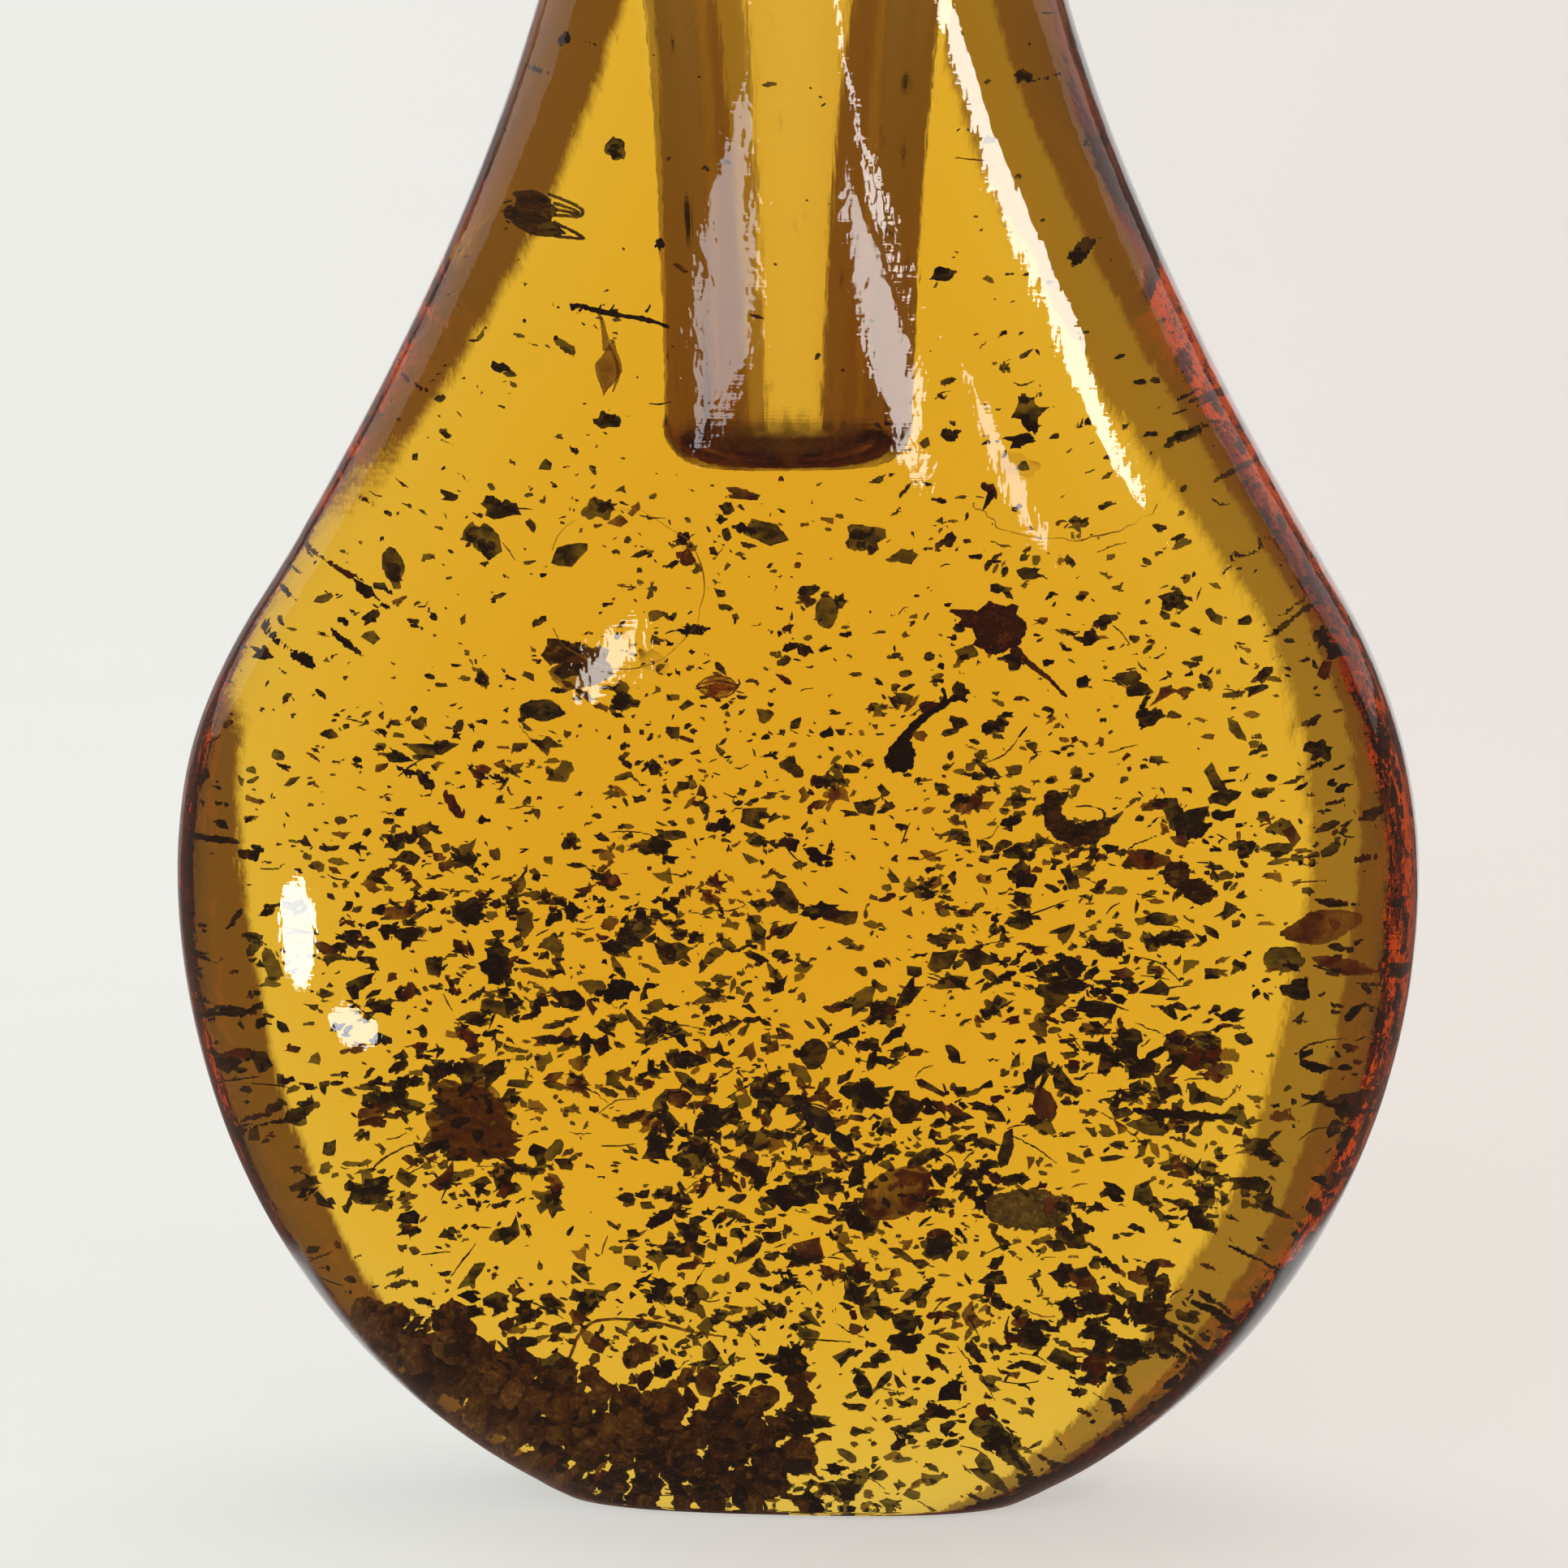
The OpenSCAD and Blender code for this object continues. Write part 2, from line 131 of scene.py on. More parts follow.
# an empty material with its output, and the place in the object in millimetres
def newMaterial(name):
    material = bpy.data.materials.new(name)
    material.use_nodes = True
    tree = material.node_tree
    tree.nodes.clear()
    out = tree.nodes.new("ShaderNodeOutputMaterial")
    place = addNode(tree, "ShaderNodeTexCoord", out=3).stretched((1000, 1000, 1000))
    return material, tree, out, place


def speckle(tree, place, scale, detail=3, roughness=0.55, stretch=(1, 1, 1)):
    return addNode(tree, "ShaderNodeTexNoise", {},
                   {"Vector": place.stretched(stretch), "Scale": scale, "Detail": detail,
                    "Roughness": roughness})


# the studio

studio = {
    "floorReach": 1.6,        # metres from the flask to the floor's far edge
    "wallDistance": 0.75,
    "wallHeight": 1.3,
    "wallBend": 0.45,         # radius of the sweep from floor to wall
    "wallTurn": 60,           # degrees of the wall's arc to each side
    "paper": (0.55, 0.55, 0.54),
    "glow": 0.57,             # light that comes through the paper
    "cardLight": 0.90,
    "cardFront": 5,           # millimetres behind the flask's middle where the card starts
    "cardRight": (30, 0.364), # its reach to the right: at the least, and per millimetre behind
    "cardLeft": (30, 0.445),
    "cardSide": (0.78, 0.26), # a dimmer part on the left: its reach and its share of the light
    "cardSoft": (2, 0.03),    # half the width of its soft edge: at the flask, and per millimetre
    "lightLeft": (0.95, 1, 0.965),
    "lightRight": (0.89, 0.865, 0.815),
    "room": (0.22, 0.145, 0.12),
}


def makeStudio():
    # the pale paper of the floor and the wall behind
    paper, tree, out, place = newMaterial("palePaper")
    grain = speckle(tree, place, 0.05, 2)
    across, behind = place.part(0), place.part(1)
    light = (across / behind.most(50)).rise(-0.3, 0.12).blend(studio["lightLeft"], studio["lightRight"])
    shade = addNode(tree, "ShaderNodeBsdfPrincipled", {}, {
        "Base Color": grain.rise(0.3, 0.7).blend(studio["paper"], [c * 0.985 for c in studio["paper"]]),
        "Roughness": 0.9, "Specular IOR Level": 0.0, "Emission Color": light,
        "Emission Strength": studio["glow"]})
    tree.links.new(shade.socket, out.inputs["Surface"])

    # the card that shines through the amber: it starts just behind the flask's middle
    card, tree, out, place = newMaterial("lightCard")
    across, behind = place.part(0), place.part(1)
    soft = behind.most(0) * studio["cardSoft"][1] + studio["cardSoft"][0]
    right = (behind * studio["cardRight"][1]).most(studio["cardRight"][0]) - across
    left = (behind * studio["cardLeft"][1]).most(studio["cardLeft"][0]) + across
    side = (behind * studio["cardSide"][0]).most(studio["cardLeft"][0]) + across
    share = (left / soft).rise(-1, 1).most((side / soft).rise(-1, 1) * studio["cardSide"][1])
    share = share.least((right / soft).rise(-1, 1)).least((behind - studio["cardFront"]).rise(-3, 3))
    clear = addNode(tree, "ShaderNodeBsdfTransparent")
    lit = addNode(tree, "ShaderNodeEmission", {}, {"Color": (1, 0.99, 0.96),
                                                   "Strength": studio["cardLight"]})
    shade = addNode(tree, "ShaderNodeMixShader", {}, {0: share, 1: clear, 2: lit})
    tree.links.new(shade.socket, out.inputs["Surface"])

    # floor disc, swept up into a curved wall behind
    turns, steps = 96, 40
    verts, faces = [], []
    for i in range(turns):
        a = 2 * math.pi * i / turns
        behind = math.degrees(abs(math.atan2(math.cos(a), math.sin(a))))      # 0 straight behind
        wall = max(0.0, min(1.0, (studio["wallTurn"] + 15 - behind) / 30))
        wall = wall * wall * (3 - 2 * wall)
        flat = studio["wallDistance"] - studio["wallBend"]
        for j in range(steps):
            t = j / (steps - 1)
            if t < 0.4:
                r, z = flat * (t / 0.4), 0.0
            elif t < 0.8:
                b = (t - 0.4) / 0.4 * math.pi / 2
                r, z = flat + studio["wallBend"] * math.sin(b), studio["wallBend"] * (1 - math.cos(b))
            else:
                r = studio["wallDistance"]
                z = studio["wallBend"] + (studio["wallHeight"] - studio["wallBend"]) * (t - 0.8) / 0.2
            low = studio["floorReach"] * t
            r = low + (r - low) * wall
            verts.append((r * math.cos(a), r * math.sin(a), z * wall))
    for i in range(turns):
        for j in range(steps - 1):
            k = (i + 1) % turns
            faces.append((i * steps + j, i * steps + j + 1, k * steps + j + 1, k * steps + j))
    for name, material, lift in (("sweep", paper, -0.1), ("lightCard", card, 0)):
        mesh = bpy.data.meshes.new(name)
        mesh.from_pydata(verts, [], faces)
        mesh.polygons.foreach_set("use_smooth", [True] * len(mesh.polygons))
        mesh.materials.append(material)
        sheet = bpy.data.objects.new(name, mesh)
        sheet.location.z = (lift - 0.05) * mm
        sheet.visible_camera = name == "sweep"
        sheet.visible_diffuse = name == "sweep"
        sheet.visible_shadow = name == "sweep"
        sheet.visible_transmission = name == "lightCard"
        sheet.visible_glossy = name == "lightCard"
        bpy.context.scene.collection.objects.link(sheet)

    world = bpy.data.worlds.new("room")
    bpy.context.scene.world = world
    world.use_nodes = True
    world.node_tree.nodes["Background"].inputs["Color"].default_value = (*studio["room"], 1)
    world.node_tree.nodes["Background"].inputs["Strength"].default_value = 1.0


# lamps and windows whose mirror images lie on the polished outside: the spot on the flask in
# millimetres, the bearing and climb of the mirrored ray, the lamp's size in millimetres, its turn
# about its own axis, its distance in metres, its brightness and its colour
mirrored = {
    "rightStrip": ((9.4, -7.2, 43.3), 127.6, 22.2, (22.6, 7), 35, 0.085, 16, (1, 0.96, 0.90)),
    "shoulderPatch": ((8.6, -8.5, 36.6), 162.4, 10.7, (6.7, 7), -16, 0.10, 7, (0.92, 0.96, 1)),
    "leftGlint": ((-16.8, -7.6, 21.5), -128, -9, (23, 21), 0, 0.11, 14, (1, 1, 0.97)),
    "leftTail": ((-14.8, -8, 18), -139, -15.5, (10.5, 4.2), 0, 0.06, 9, (0.85, 0.92, 1)),
    "wellLeft": ((-1.6, -8.7, 44.4), -168.8, 5.9, (18, 10.5), -55, 0.12, 5, (0.97, 0.98, 1)),
    "wellRight": ((4, -8.7, 41.9), 174.1, 7.2, (15, 9), 45, 0.12, 9, (1, 0.98, 0.96)),
    "wellHalfMoon": ((3.6, -8.4, 46.4), 168.7, 9.3, (4, 4.4), 28, 0.12, 12, (1, 0.98, 0.96)),
    "wellDiamond": ((3.4, -8.4, 48), 167.2, 10, (2.4, 8), 52, 0.12, 12, (1, 0.98, 0.96)),
    "crackGlint": ((-5.3, -9.2, 31.3), -166, 1, (7, 3.8), 0, 0.10, 10, (1, 0.93, 0.85)),
    "leftSheen": ((-12, -4.6, 44), -60, 15, (180, 115), 0, 0.30, 0.4, (1, 0.88, 0.86)),
    "rightSheen": ((13, -3.6, 43), 46, 17, (140, 105), 0, 0.30, 0.5, (1, 0.86, 0.82)),
}


def addLamp(name, place, target, size, watts, colour=(1, 1, 1), mirrored=True):
    data = bpy.data.lights.new(name, "AREA")
    data.shape = "ELLIPSE" if name.startswith("left") else "RECTANGLE"
    data.size, data.size_y = size
    data.energy = watts
    data.color = colour
    lamp = bpy.data.objects.new(name, data)
    lamp.location = place
    lamp.rotation_euler = (Vector(target) - Vector(place)).to_track_quat("-Z", "Y").to_euler()
    lamp.visible_camera = False
    lamp.visible_glossy = mirrored
    lamp.visible_transmission = False
    bpy.context.scene.collection.objects.link(lamp)
    return lamp


def addMirrored(name, spot, bearing, climb, size, turn, distance, brightness, colour):
    bearing, climb = math.radians(bearing), math.radians(climb)
    spot = Vector(spot) * mm
    away = Vector((math.sin(bearing) * math.cos(climb), math.cos(bearing) * math.cos(climb),
                   math.sin(climb)))
    long, wide = size[0] * mm, size[1] * mm
    lamp = addLamp(name, spot + away * distance, spot, (long, wide), brightness * math.pi * long * wide,
                   colour)
    lamp.rotation_euler.rotate_axis("Z", math.radians(turn))


makeStudio()
addLamp("wallWash", (0, 0.1, 1.1), (0, 0.75, 0.25), (0.9, 0.3), 0.9, mirrored=False)
addLamp("overhead", (0, 0.15, 1.2), (0, 0.1, 0), (0.8, 0.6), 0.9, mirrored=False)
addLamp("frontSoftbox", (0, -0.8, 0.35), (0, 0, 0.03), (1.5, 0.8), 1.7,
        mirrored=False).visible_transmission = True
for name, lamp in mirrored.items():
    addMirrored(name, *lamp)
print("studio built")


# the camera

camera = {"turn": 6, "rise": 5, "distance": 0.21, "height": 25.8 * mm, "side": -0.44 * mm,
          "across": 56.8 * mm}


def makeCamera():
    data = bpy.data.cameras.new("camera")
    data.sensor_width = 36
    data.lens = 36 * camera["distance"] / camera["across"]
    data.clip_start, data.clip_end = 0.01, 10
    view = bpy.data.objects.new("camera", data)
    turn, rise = math.radians(camera["turn"]), math.radians(camera["rise"])
    back = Vector((math.sin(turn) * math.cos(rise), -math.cos(turn) * math.cos(rise), math.sin(rise)))
    aim = Vector((camera["side"] * math.cos(turn), camera["side"] * math.sin(turn), camera["height"]))
    view.location = aim + back * camera["distance"]
    view.rotation_euler = (-back).to_track_quat("-Z", "Y").to_euler()
    bpy.context.scene.collection.objects.link(view)
    bpy.context.scene.camera = view


makeCamera()
bpy.context.scene.view_settings.view_transform = "Standard"
bpy.context.scene.view_settings.look = "None"


# the flask's form

flaskLow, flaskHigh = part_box("amber_flask")
flask = {
    "halfWidth": (flaskHigh[0] - flaskLow[0]) / 2,
    "halfDepth": (flaskHigh[1] - flaskLow[1]) / 2,
    "mouth": flaskHigh[2],
    "bowlHeight": 22.6 * mm,
    "shoulderRadius": 21 * mm,
    "shoulderAngle": math.radians(29),
    "bowlSquareness": 2.8,
    "footHalfWidth": 8.5 * mm,
    "footHalfDepth": 5 * mm,
    "depthPower": 2.2,
    "neckRadius": 8.1 * mm,
    "neckHeight": 3 * mm,
    "lipRadius": 1.1 * mm,
    "wellRadius": 4.2 * mm,
    "wellDepth": 30.8 * mm,
    "wellCorner": 1.5 * mm,
    "mouthChamfer": 0.5 * mm,
    "around": 160,            # points in each ring
    "ringStep": 0.42 * mm,    # height between rings on the outside
    "polish": 0.05 * mm,      # how far hand polishing left the surface from true
    "leftSlack": 0.5 * mm,    # the left flank is a little slimmer than the right one
}
flask["neckStart"] = flask["mouth"] - flask["neckHeight"]
flask["wellFloor"] = flask["mouth"] - flask["wellDepth"]


def smoothStep(t):
    t = np.clip(t, 0, 1)
    return t * t * (3 - 2 * t)


# half the width of the outline at height z
def halfWidth(z):
    z = np.asarray(z, dtype=float)
    r, bowl = flask["halfWidth"], flask["bowlHeight"]
    low = bowl / math.sqrt(1 - (flask["footHalfWidth"] / r) ** 2)
    top = bowl + flask["shoulderRadius"] * math.sin(flask["shoulderAngle"])
    wide = r * math.cos(flask["shoulderAngle"])
    lean = -r / flask["shoulderRadius"] * math.tan(flask["shoulderAngle"])
    rise = flask["neckStart"] - top
    t = np.clip((z - top) / rise, 0, 1)
    lower = r * np.sqrt(np.clip(1 - ((bowl - z) / low) ** 2, 0, 1))
    shoulder = r * np.sqrt(np.clip(1 - ((z - bowl) / flask["shoulderRadius"]) ** 2, 0, 1))
    flank = (2 * t**3 - 3 * t**2 + 1) * wide + (t**3 - 2 * t**2 + t) * rise * lean
    flank = flank + (3 * t**2 - 2 * t**3) * flask["neckRadius"]
    return np.where(z < bowl, lower, np.where(z < top, shoulder, flank))


def neckness(z):
    rise = flask["neckStart"] - flask["bowlHeight"]
    return smoothStep((np.asarray(z, dtype=float) - flask["bowlHeight"]) / rise)


def halfDepth(z):
    z = np.asarray(z, dtype=float)
    share = (flask["footHalfDepth"] / flask["halfDepth"]) ** flask["depthPower"]
    below = np.clip((flask["bowlHeight"] - z) / flask["bowlHeight"], 0, 1) ** flask["depthPower"]
    lower = flask["halfDepth"] * (1 - below * (1 - share)) ** (1 / flask["depthPower"])
    upper = flask["halfDepth"] + (flask["neckRadius"] - flask["halfDepth"]) * neckness(z)
    return np.where(z < flask["bowlHeight"], lower, upper)


def squareness(z):
    return flask["bowlSquareness"] + (2 - flask["bowlSquareness"]) * neckness(z)


# a ring of evenly spaced points round the cross-section
def ringAt(halfW, halfD, power, count):
    a = np.linspace(0, 2 * np.pi, 1441)
    c, s = np.cos(a), np.sin(a)
    x = halfW * np.sign(c) * np.abs(c) ** (2 / power)
    y = halfD * np.sign(s) * np.abs(s) ** (2 / power)
    run = np.concatenate([[0], np.cumsum(np.hypot(np.diff(x), np.diff(y)))])
    at = np.linspace(0, run[-1], count + 1)[:-1]
    return np.stack([np.interp(at, run, x), np.interp(at, run, y)], 1)


# closed skin over stacked rings, ends closed by a middle point
def skinRings(name, rings, firstTip, lastTip):
    count = len(rings[0])
    verts = [tuple(firstTip)] + [tuple(p) for ring in rings for p in ring] + [tuple(lastTip)]
    faces = []
    for i in range(count):
        faces.append((0, 1 + (i + 1) % count, 1 + i))
    for j in range(len(rings) - 1):
        for i in range(count):
            k = (i + 1) % count
            a, b = 1 + j * count, 1 + (j + 1) * count
            faces.append((a + i, a + k, b + k, b + i))
    last = 1 + (len(rings) - 1) * count
    for i in range(count):
        faces.append((last + i, last + (i + 1) % count, len(verts) - 1))
    mesh = bpy.data.meshes.new(name)
    mesh.from_pydata(verts, [], faces)
    mesh.polygons.foreach_set("use_smooth", [True] * len(mesh.polygons))
    mesh.update()
    piece = bpy.data.objects.new(name, mesh)
    bpy.context.scene.collection.objects.link(piece)
    return piece


def makeFlaskBody():
    count = flask["around"]
    rings = []

    def level(points, z):
        rings.append(np.column_stack([points, np.full(len(points), z)]))

    foot = ringAt(float(halfWidth(0)), float(halfDepth(0)), float(squareness(0)), count)
    for share in (0.15, 0.3, 0.45, 0.6, 0.75, 0.88):
        level(foot * share, 0)
    # outside: heights spaced evenly along the outline
    fine = np.linspace(0, flask["neckStart"], 4000)
    run = np.concatenate([[0], np.cumsum(np.hypot(np.diff(fine), np.diff(halfWidth(fine))))])
    outside = np.interp(np.linspace(0, run[-1], int(run[-1] / flask["ringStep"])), run, fine)
    for z in outside:
        level(ringAt(float(halfWidth(z)), float(halfDepth(z)), float(squareness(z)), count), z)
    # neck, lip and chamfer
    r, lip = flask["neckRadius"], flask["lipRadius"]
    circle = ringAt(1, 1, 2, count)
    for share in (0.35, 0.7):
        level(circle * r, flask["neckStart"] + share * (flask["neckHeight"] - lip))
    for i in range(9):
        a = math.pi / 2 * i / 8
        level(circle * (r - lip * (1 - math.cos(a))), flask["mouth"] - lip * (1 - math.sin(a)))
    well, chamfer = flask["wellRadius"], flask["mouthChamfer"]
    level(circle * (well + chamfer + 0.25 * (r - lip - well - chamfer)), flask["mouth"])
    level(circle * (well + chamfer), flask["mouth"])
    # the well
    corner = flask["wellCorner"]
    wallLow = flask["wellFloor"] + corner
    for z in np.linspace(flask["mouth"] - chamfer, wallLow, 70):
        level(circle * well, z)
    for i in range(1, 9):
        a = math.pi / 2 * i / 8
        level(circle * (well - corner * (1 - math.cos(a))), wallLow - corner * math.sin(a))
    for share in (0.75, 0.5, 0.25):
        level(circle * (well - corner) * share, flask["wellFloor"])
    body = skinRings("flaskBody", rings, (0, 0, 0), (0, 0, flask["wellFloor"]))

    # hand polishing leaves the outside slightly out of true, and the drill the well; only the outside is
    # moved here
    mesh = body.data
    places = np.empty(len(mesh.vertices) * 3)
    normals = np.empty(len(mesh.vertices) * 3)
    mesh.vertices.foreach_get("co", places)
    mesh.vertices.foreach_get("normal", normals)
    places, normals = places.reshape(-1, 3), normals.reshape(-1, 3)
    slow = np.array([noise.noise(Vector(p) * 160) for p in places])
    quick = np.array([noise.noise(Vector((p[0] * 420, p[1] * 420, p[2] * 170))) for p in places])
    radius = np.hypot(places[:, 0], places[:, 1])
    inWell = (radius < well + 0.6 * mm) & (places[:, 2] > flask["wellFloor"] - 0.2 * mm)
    outside = ~inWell & (places[:, 2] > 0.4 * mm)
    push = np.where(outside, -flask["polish"] * (0.5 + 0.35 * slow + 0.3 * quick), 0)
    up = places[:, 2] / mm
    slack = flask["leftSlack"] * smoothStep((up - 26) / 9) * smoothStep((64 - up) / 6)
    lean = np.where(outside & (places[:, 0] < 0), slack * -places[:, 0] / halfWidth(places[:, 2]), 0)
    places = places + normals * push[:, None]
    places[:, 0] += lean
    mesh.vertices.foreach_set("co", places.ravel())
    mesh.update()
    return body


# the clear amber that fills the flask and the cap
amber = {
    "refraction": 1.54,
    "tint": (0.967, 0.81, 0.02),
    "tintDensity": 240.0,
}


def amberSurface(name, wellRadius=0, wellFloor=0):
    material, tree, out, place = newMaterial(name)
    smear = speckle(tree, place, 0.35, 4, 0.6)
    ripple = speckle(tree, place, 0.9, 3, 0.5, (1, 1, 0.5))
    hair = speckle(tree, place, 1.0, 2, 0.5, (0.4, 0.4, 7))
    height = ripple + hair * 0.05
    rough = smear.rise(0.35, 0.7) * 0.03
    stain = (1, 1, 1)
    if wellRadius:
        # the drill's marks: rings round the wall and a few long draws down it
        radius = (place.part(0) ** 2 + place.part(1) ** 2) ** 0.5
        inWell = (wellRadius / mm + 0.5 - radius).rise(0, 0.1)
        inWell = inWell * (place.part(2) - wellFloor / mm).rise(-0.3, -0.1)
        ringMarks = speckle(tree, place, 1.0, 4, 0.7, (0.25, 0.25, 9))
        longMarks = speckle(tree, place, 1.0, 3, 0.6, (2.5, 2.5, 0.15))
        height = height + inWell * (ringMarks * 0.3 + longMarks * 0.6)
        rough = rough + inWell * smear.rise(0.3, 0.7) * 0.1
        stain = (inWell * (0.75 + ringMarks * 0.5)).blend((1, 1, 1), (0.93, 0.72, 0.26))
    bump = addNode(tree, "ShaderNodeBump", {}, {"Height": height, "Distance": 0.02 * mm, "Strength": 1.0})
    shade = addNode(tree, "ShaderNodeBsdfPrincipled", {}, {
        "Base Color": stain, "Roughness": rough, "IOR": amber["refraction"],
        "Transmission Weight": 1.0, "Normal": bump})
    if wellRadius:
        # darker brown patches low in the well: most on its floor and in its corner, fading upward
        above = place.part(2) - wellFloor / mm
        patchy = speckle(tree, place, 0.8, 4, 0.65, (1, 1, 0.7))
        lowWellShare = inWell * (1 - (above - patchy * 1.8).rise(0.2, 0.9)) * (patchy * 1.2 + 0.05)
        lowWellBrown = addNode(tree, "ShaderNodeBsdfPrincipled", {}, {
            "Base Color": patchy.rise(0.4, 0.65).blend((0.06, 0.025, 0.006), (0.34, 0.17, 0.05)),
            "Roughness": 0.7})
        shade = addNode(tree, "ShaderNodeMixShader", {}, {0: lowWellShare, 1: shade, 2: lowWellBrown})
    tree.links.new(shade.socket, out.inputs["Surface"])
    inside = addNode(tree, "ShaderNodeVolumeAbsorption", {},
                     {"Color": amber["tint"], "Density": amber["tintDensity"]})
    tree.links.new(inside.socket, out.inputs["Volume"])
    return material


polishedAmber = amberSurface("polishedAmber", flask["wellRadius"], flask["wellFloor"])

flaskBody = makeFlaskBody()
flaskBody.data.materials.append(polishedAmber)
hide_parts("amber_flask")
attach(flaskBody, "flask")
print("flask body built:", len(flaskBody.data.polygons), "faces")


# forms that the debris is made of, in millimetres round their own middle

def turned(points, tilt):
    return np.asarray(points) @ np.array(Euler([math.radians(t) for t in tilt]).to_matrix()).T


class Heap:
    # closed pieces gathered into one mesh
    def __init__(self):
        self.verts, self.faces = [], []

    def add(self, form, middle=(0, 0, 0), tilt=(0, 0, 0)):
        points, faces = form
        start = len(self.verts)
        self.verts.extend(map(tuple, (turned(points, tilt) + np.asarray(middle)) * mm))
        self.faces.extend(tuple(start + i for i in face) for face in faces)
        return self

    def finish(self, name, material, node=None, slot=None, body="flask", smooth=False):
        mesh = bpy.data.meshes.new(name)
        mesh.from_pydata(self.verts, [], self.faces)
        mesh.polygons.foreach_set("use_smooth", [smooth] * len(mesh.polygons))
        mesh.materials.append(material)
        mesh.update()
        piece = bpy.data.objects.new(name, mesh)
        bpy.context.scene.collection.objects.link(piece)
        if node:
            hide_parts(node)
        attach(piece, body)


# a ragged flake in the upright plane: uneven outline, thick in the middle, bevelled edge
def flakeForm(rng, long, wide, thick, points=8, raggedness=0.5):
    ring = []
    for i in range(points):
        turn = 2 * math.pi * (i + rng.uniform(-0.35, 0.35)) / points
        reach = 1 - raggedness * rng.choice((0, 0, 0.3, 0.6, 1)) * rng.uniform(0.7, 1)
        ring.append((reach * math.cos(turn), reach * math.sin(turn), rng.uniform(-0.4, 0.4)))
    verts, faces = [], []
    for depth, share in ((-0.5, 0.72), (0, 1), (0.5, 0.66)):
        for x, z, bend in ring:
            jolt = rng.uniform(0.85, 1.1)
            verts.append((x * share * jolt * long / 2, (depth + 0.3 * bend) * thick,
                          z * share * jolt * wide / 2))
    verts += [(0, -0.62 * thick, 0), (0, 0.62 * thick, 0)]
    for i in range(points):
        k = (i + 1) % points
        faces.append((i, k, 3 * points))
        faces.append((2 * points + k, 2 * points + i, 3 * points + 1))
        for layer in (0, points):
            faces.append((layer + k, layer + i, layer + points + i, layer + points + k))
    return verts, faces


ballCache = {}


def ballForm(detail):
    if detail not in ballCache:
        grid = bmesh.new()
        bmesh.ops.create_icosphere(grid, subdivisions=detail, radius=1)
        faces = [tuple(v.index for v in face.verts) for face in grid.faces]
        ballCache[detail] = (np.array([v.co[:] for v in grid.verts]), faces)
        grid.free()
    return ballCache[detail]


# a lump of the given size, dented by noise; pinch above 0 draws its ends to points
def lumpForm(rng, size, roughness=0.2, detail=3, grain=1.3, pinch=0, ribs=0):
    ball, faces = ballForm(detail)
    shift = Vector((rng.uniform(0, 50), rng.uniform(0, 50), rng.uniform(0, 50)))
    verts = []
    for p in ball:
        spot = Vector(p) * grain
        reach = 1 + roughness * (noise.noise(spot + shift) + 0.5 * noise.noise(spot * 2.7 + shift))
        if ribs:
            reach += 0.05 * math.cos(ribs * math.atan2(p[1], p[2]))
        taper = max(0.02, 1 - abs(p[0])) ** pinch
        verts.append((p[0] * reach, p[1] * reach * taper, p[2] * reach * taper))
    verts = np.array(verts)
    low, high = verts.min(0), verts.max(0)
    return (verts - (low + high) / 2) / (high - low) * np.asarray(size), faces


# a stalk through the places, smooth between them, with a radius at each place
def stalkForm(rng, places, radii, sides=9, steps=6, unevenness=0.12):
    places = np.array(places, dtype=float)
    ends = np.vstack([2 * places[0] - places[1], places, 2 * places[-1] - places[-2]])
    line, widths = [], []
    for i in range(1, len(ends) - 2):
        for j in range(steps):
            t = j / steps
            a, b, c, d = ends[i - 1:i + 3]
            bend = (2 * a - 5 * b + 4 * c - d) * t * t + (3 * b - a - 3 * c + d) * t**3
            line.append(0.5 * (2 * b + (c - a) * t + bend))
            widths.append(radii[i - 1] + (radii[i] - radii[i - 1]) * t)
    line.append(places[-1])
    widths.append(radii[-1])
    line = np.array(line)
    verts, faces = [], []
    up = Vector((0.13, 1, 0.07))
    for i, p in enumerate(line):
        along = Vector(line[min(i + 1, len(line) - 1)] - line[max(i - 1, 0)]).normalized()
        side = along.cross(up).normalized()
        lift = side.cross(along)
        swell = widths[i] * (1 + unevenness * rng.uniform(-1, 1))
        for k in range(sides):
            turn = 2 * math.pi * k / sides
            reach = swell * (1 + 0.5 * unevenness * rng.uniform(-1, 1))
            verts.append(tuple(Vector(p) + side * reach * math.cos(turn) + lift * reach * math.sin(turn)))
    for i in range(len(line) - 1):
        for k in range(sides):
            n = (k + 1) % sides
            faces.append((i * sides + k, i * sides + n, (i + 1) * sides + n, (i + 1) * sides + k))
    faces.append(tuple(reversed(range(sides))))
    faces.append(tuple(range((len(line) - 1) * sides, len(line) * sides)))
    return verts, faces


# middle and size of a CAD node, in millimetres
def boxOf(node):
    low, high = (np.array(corner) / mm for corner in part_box(node))
    return (low + high) / 2, high - low


# middle and size of each separate solid in a CAD node
def solidsOf(node):
    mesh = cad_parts[node].data
    keys = [tuple(round(c * 1e6) for c in v.co) for v in mesh.vertices]
    parent = {key: key for key in keys}

    def root(key):
        while parent[key] != key:
            parent[key] = parent[parent[key]]
            key = parent[key]
        return key

    for polygon in mesh.polygons:
        corners = [root(keys[i]) for i in polygon.vertices]
        for key in corners[1:]:
            parent[root(key)] = root(corners[0])
    groups = {}
    for key in parent:
        groups.setdefault(root(key), []).append(key)
    solids = []
    for key in sorted(groups):
        cloud = np.array(groups[key]) / 1000
        solids.append(((cloud.min(0) + cloud.max(0)) / 2, cloud.max(0) - cloud.min(0), cloud))
    return solids


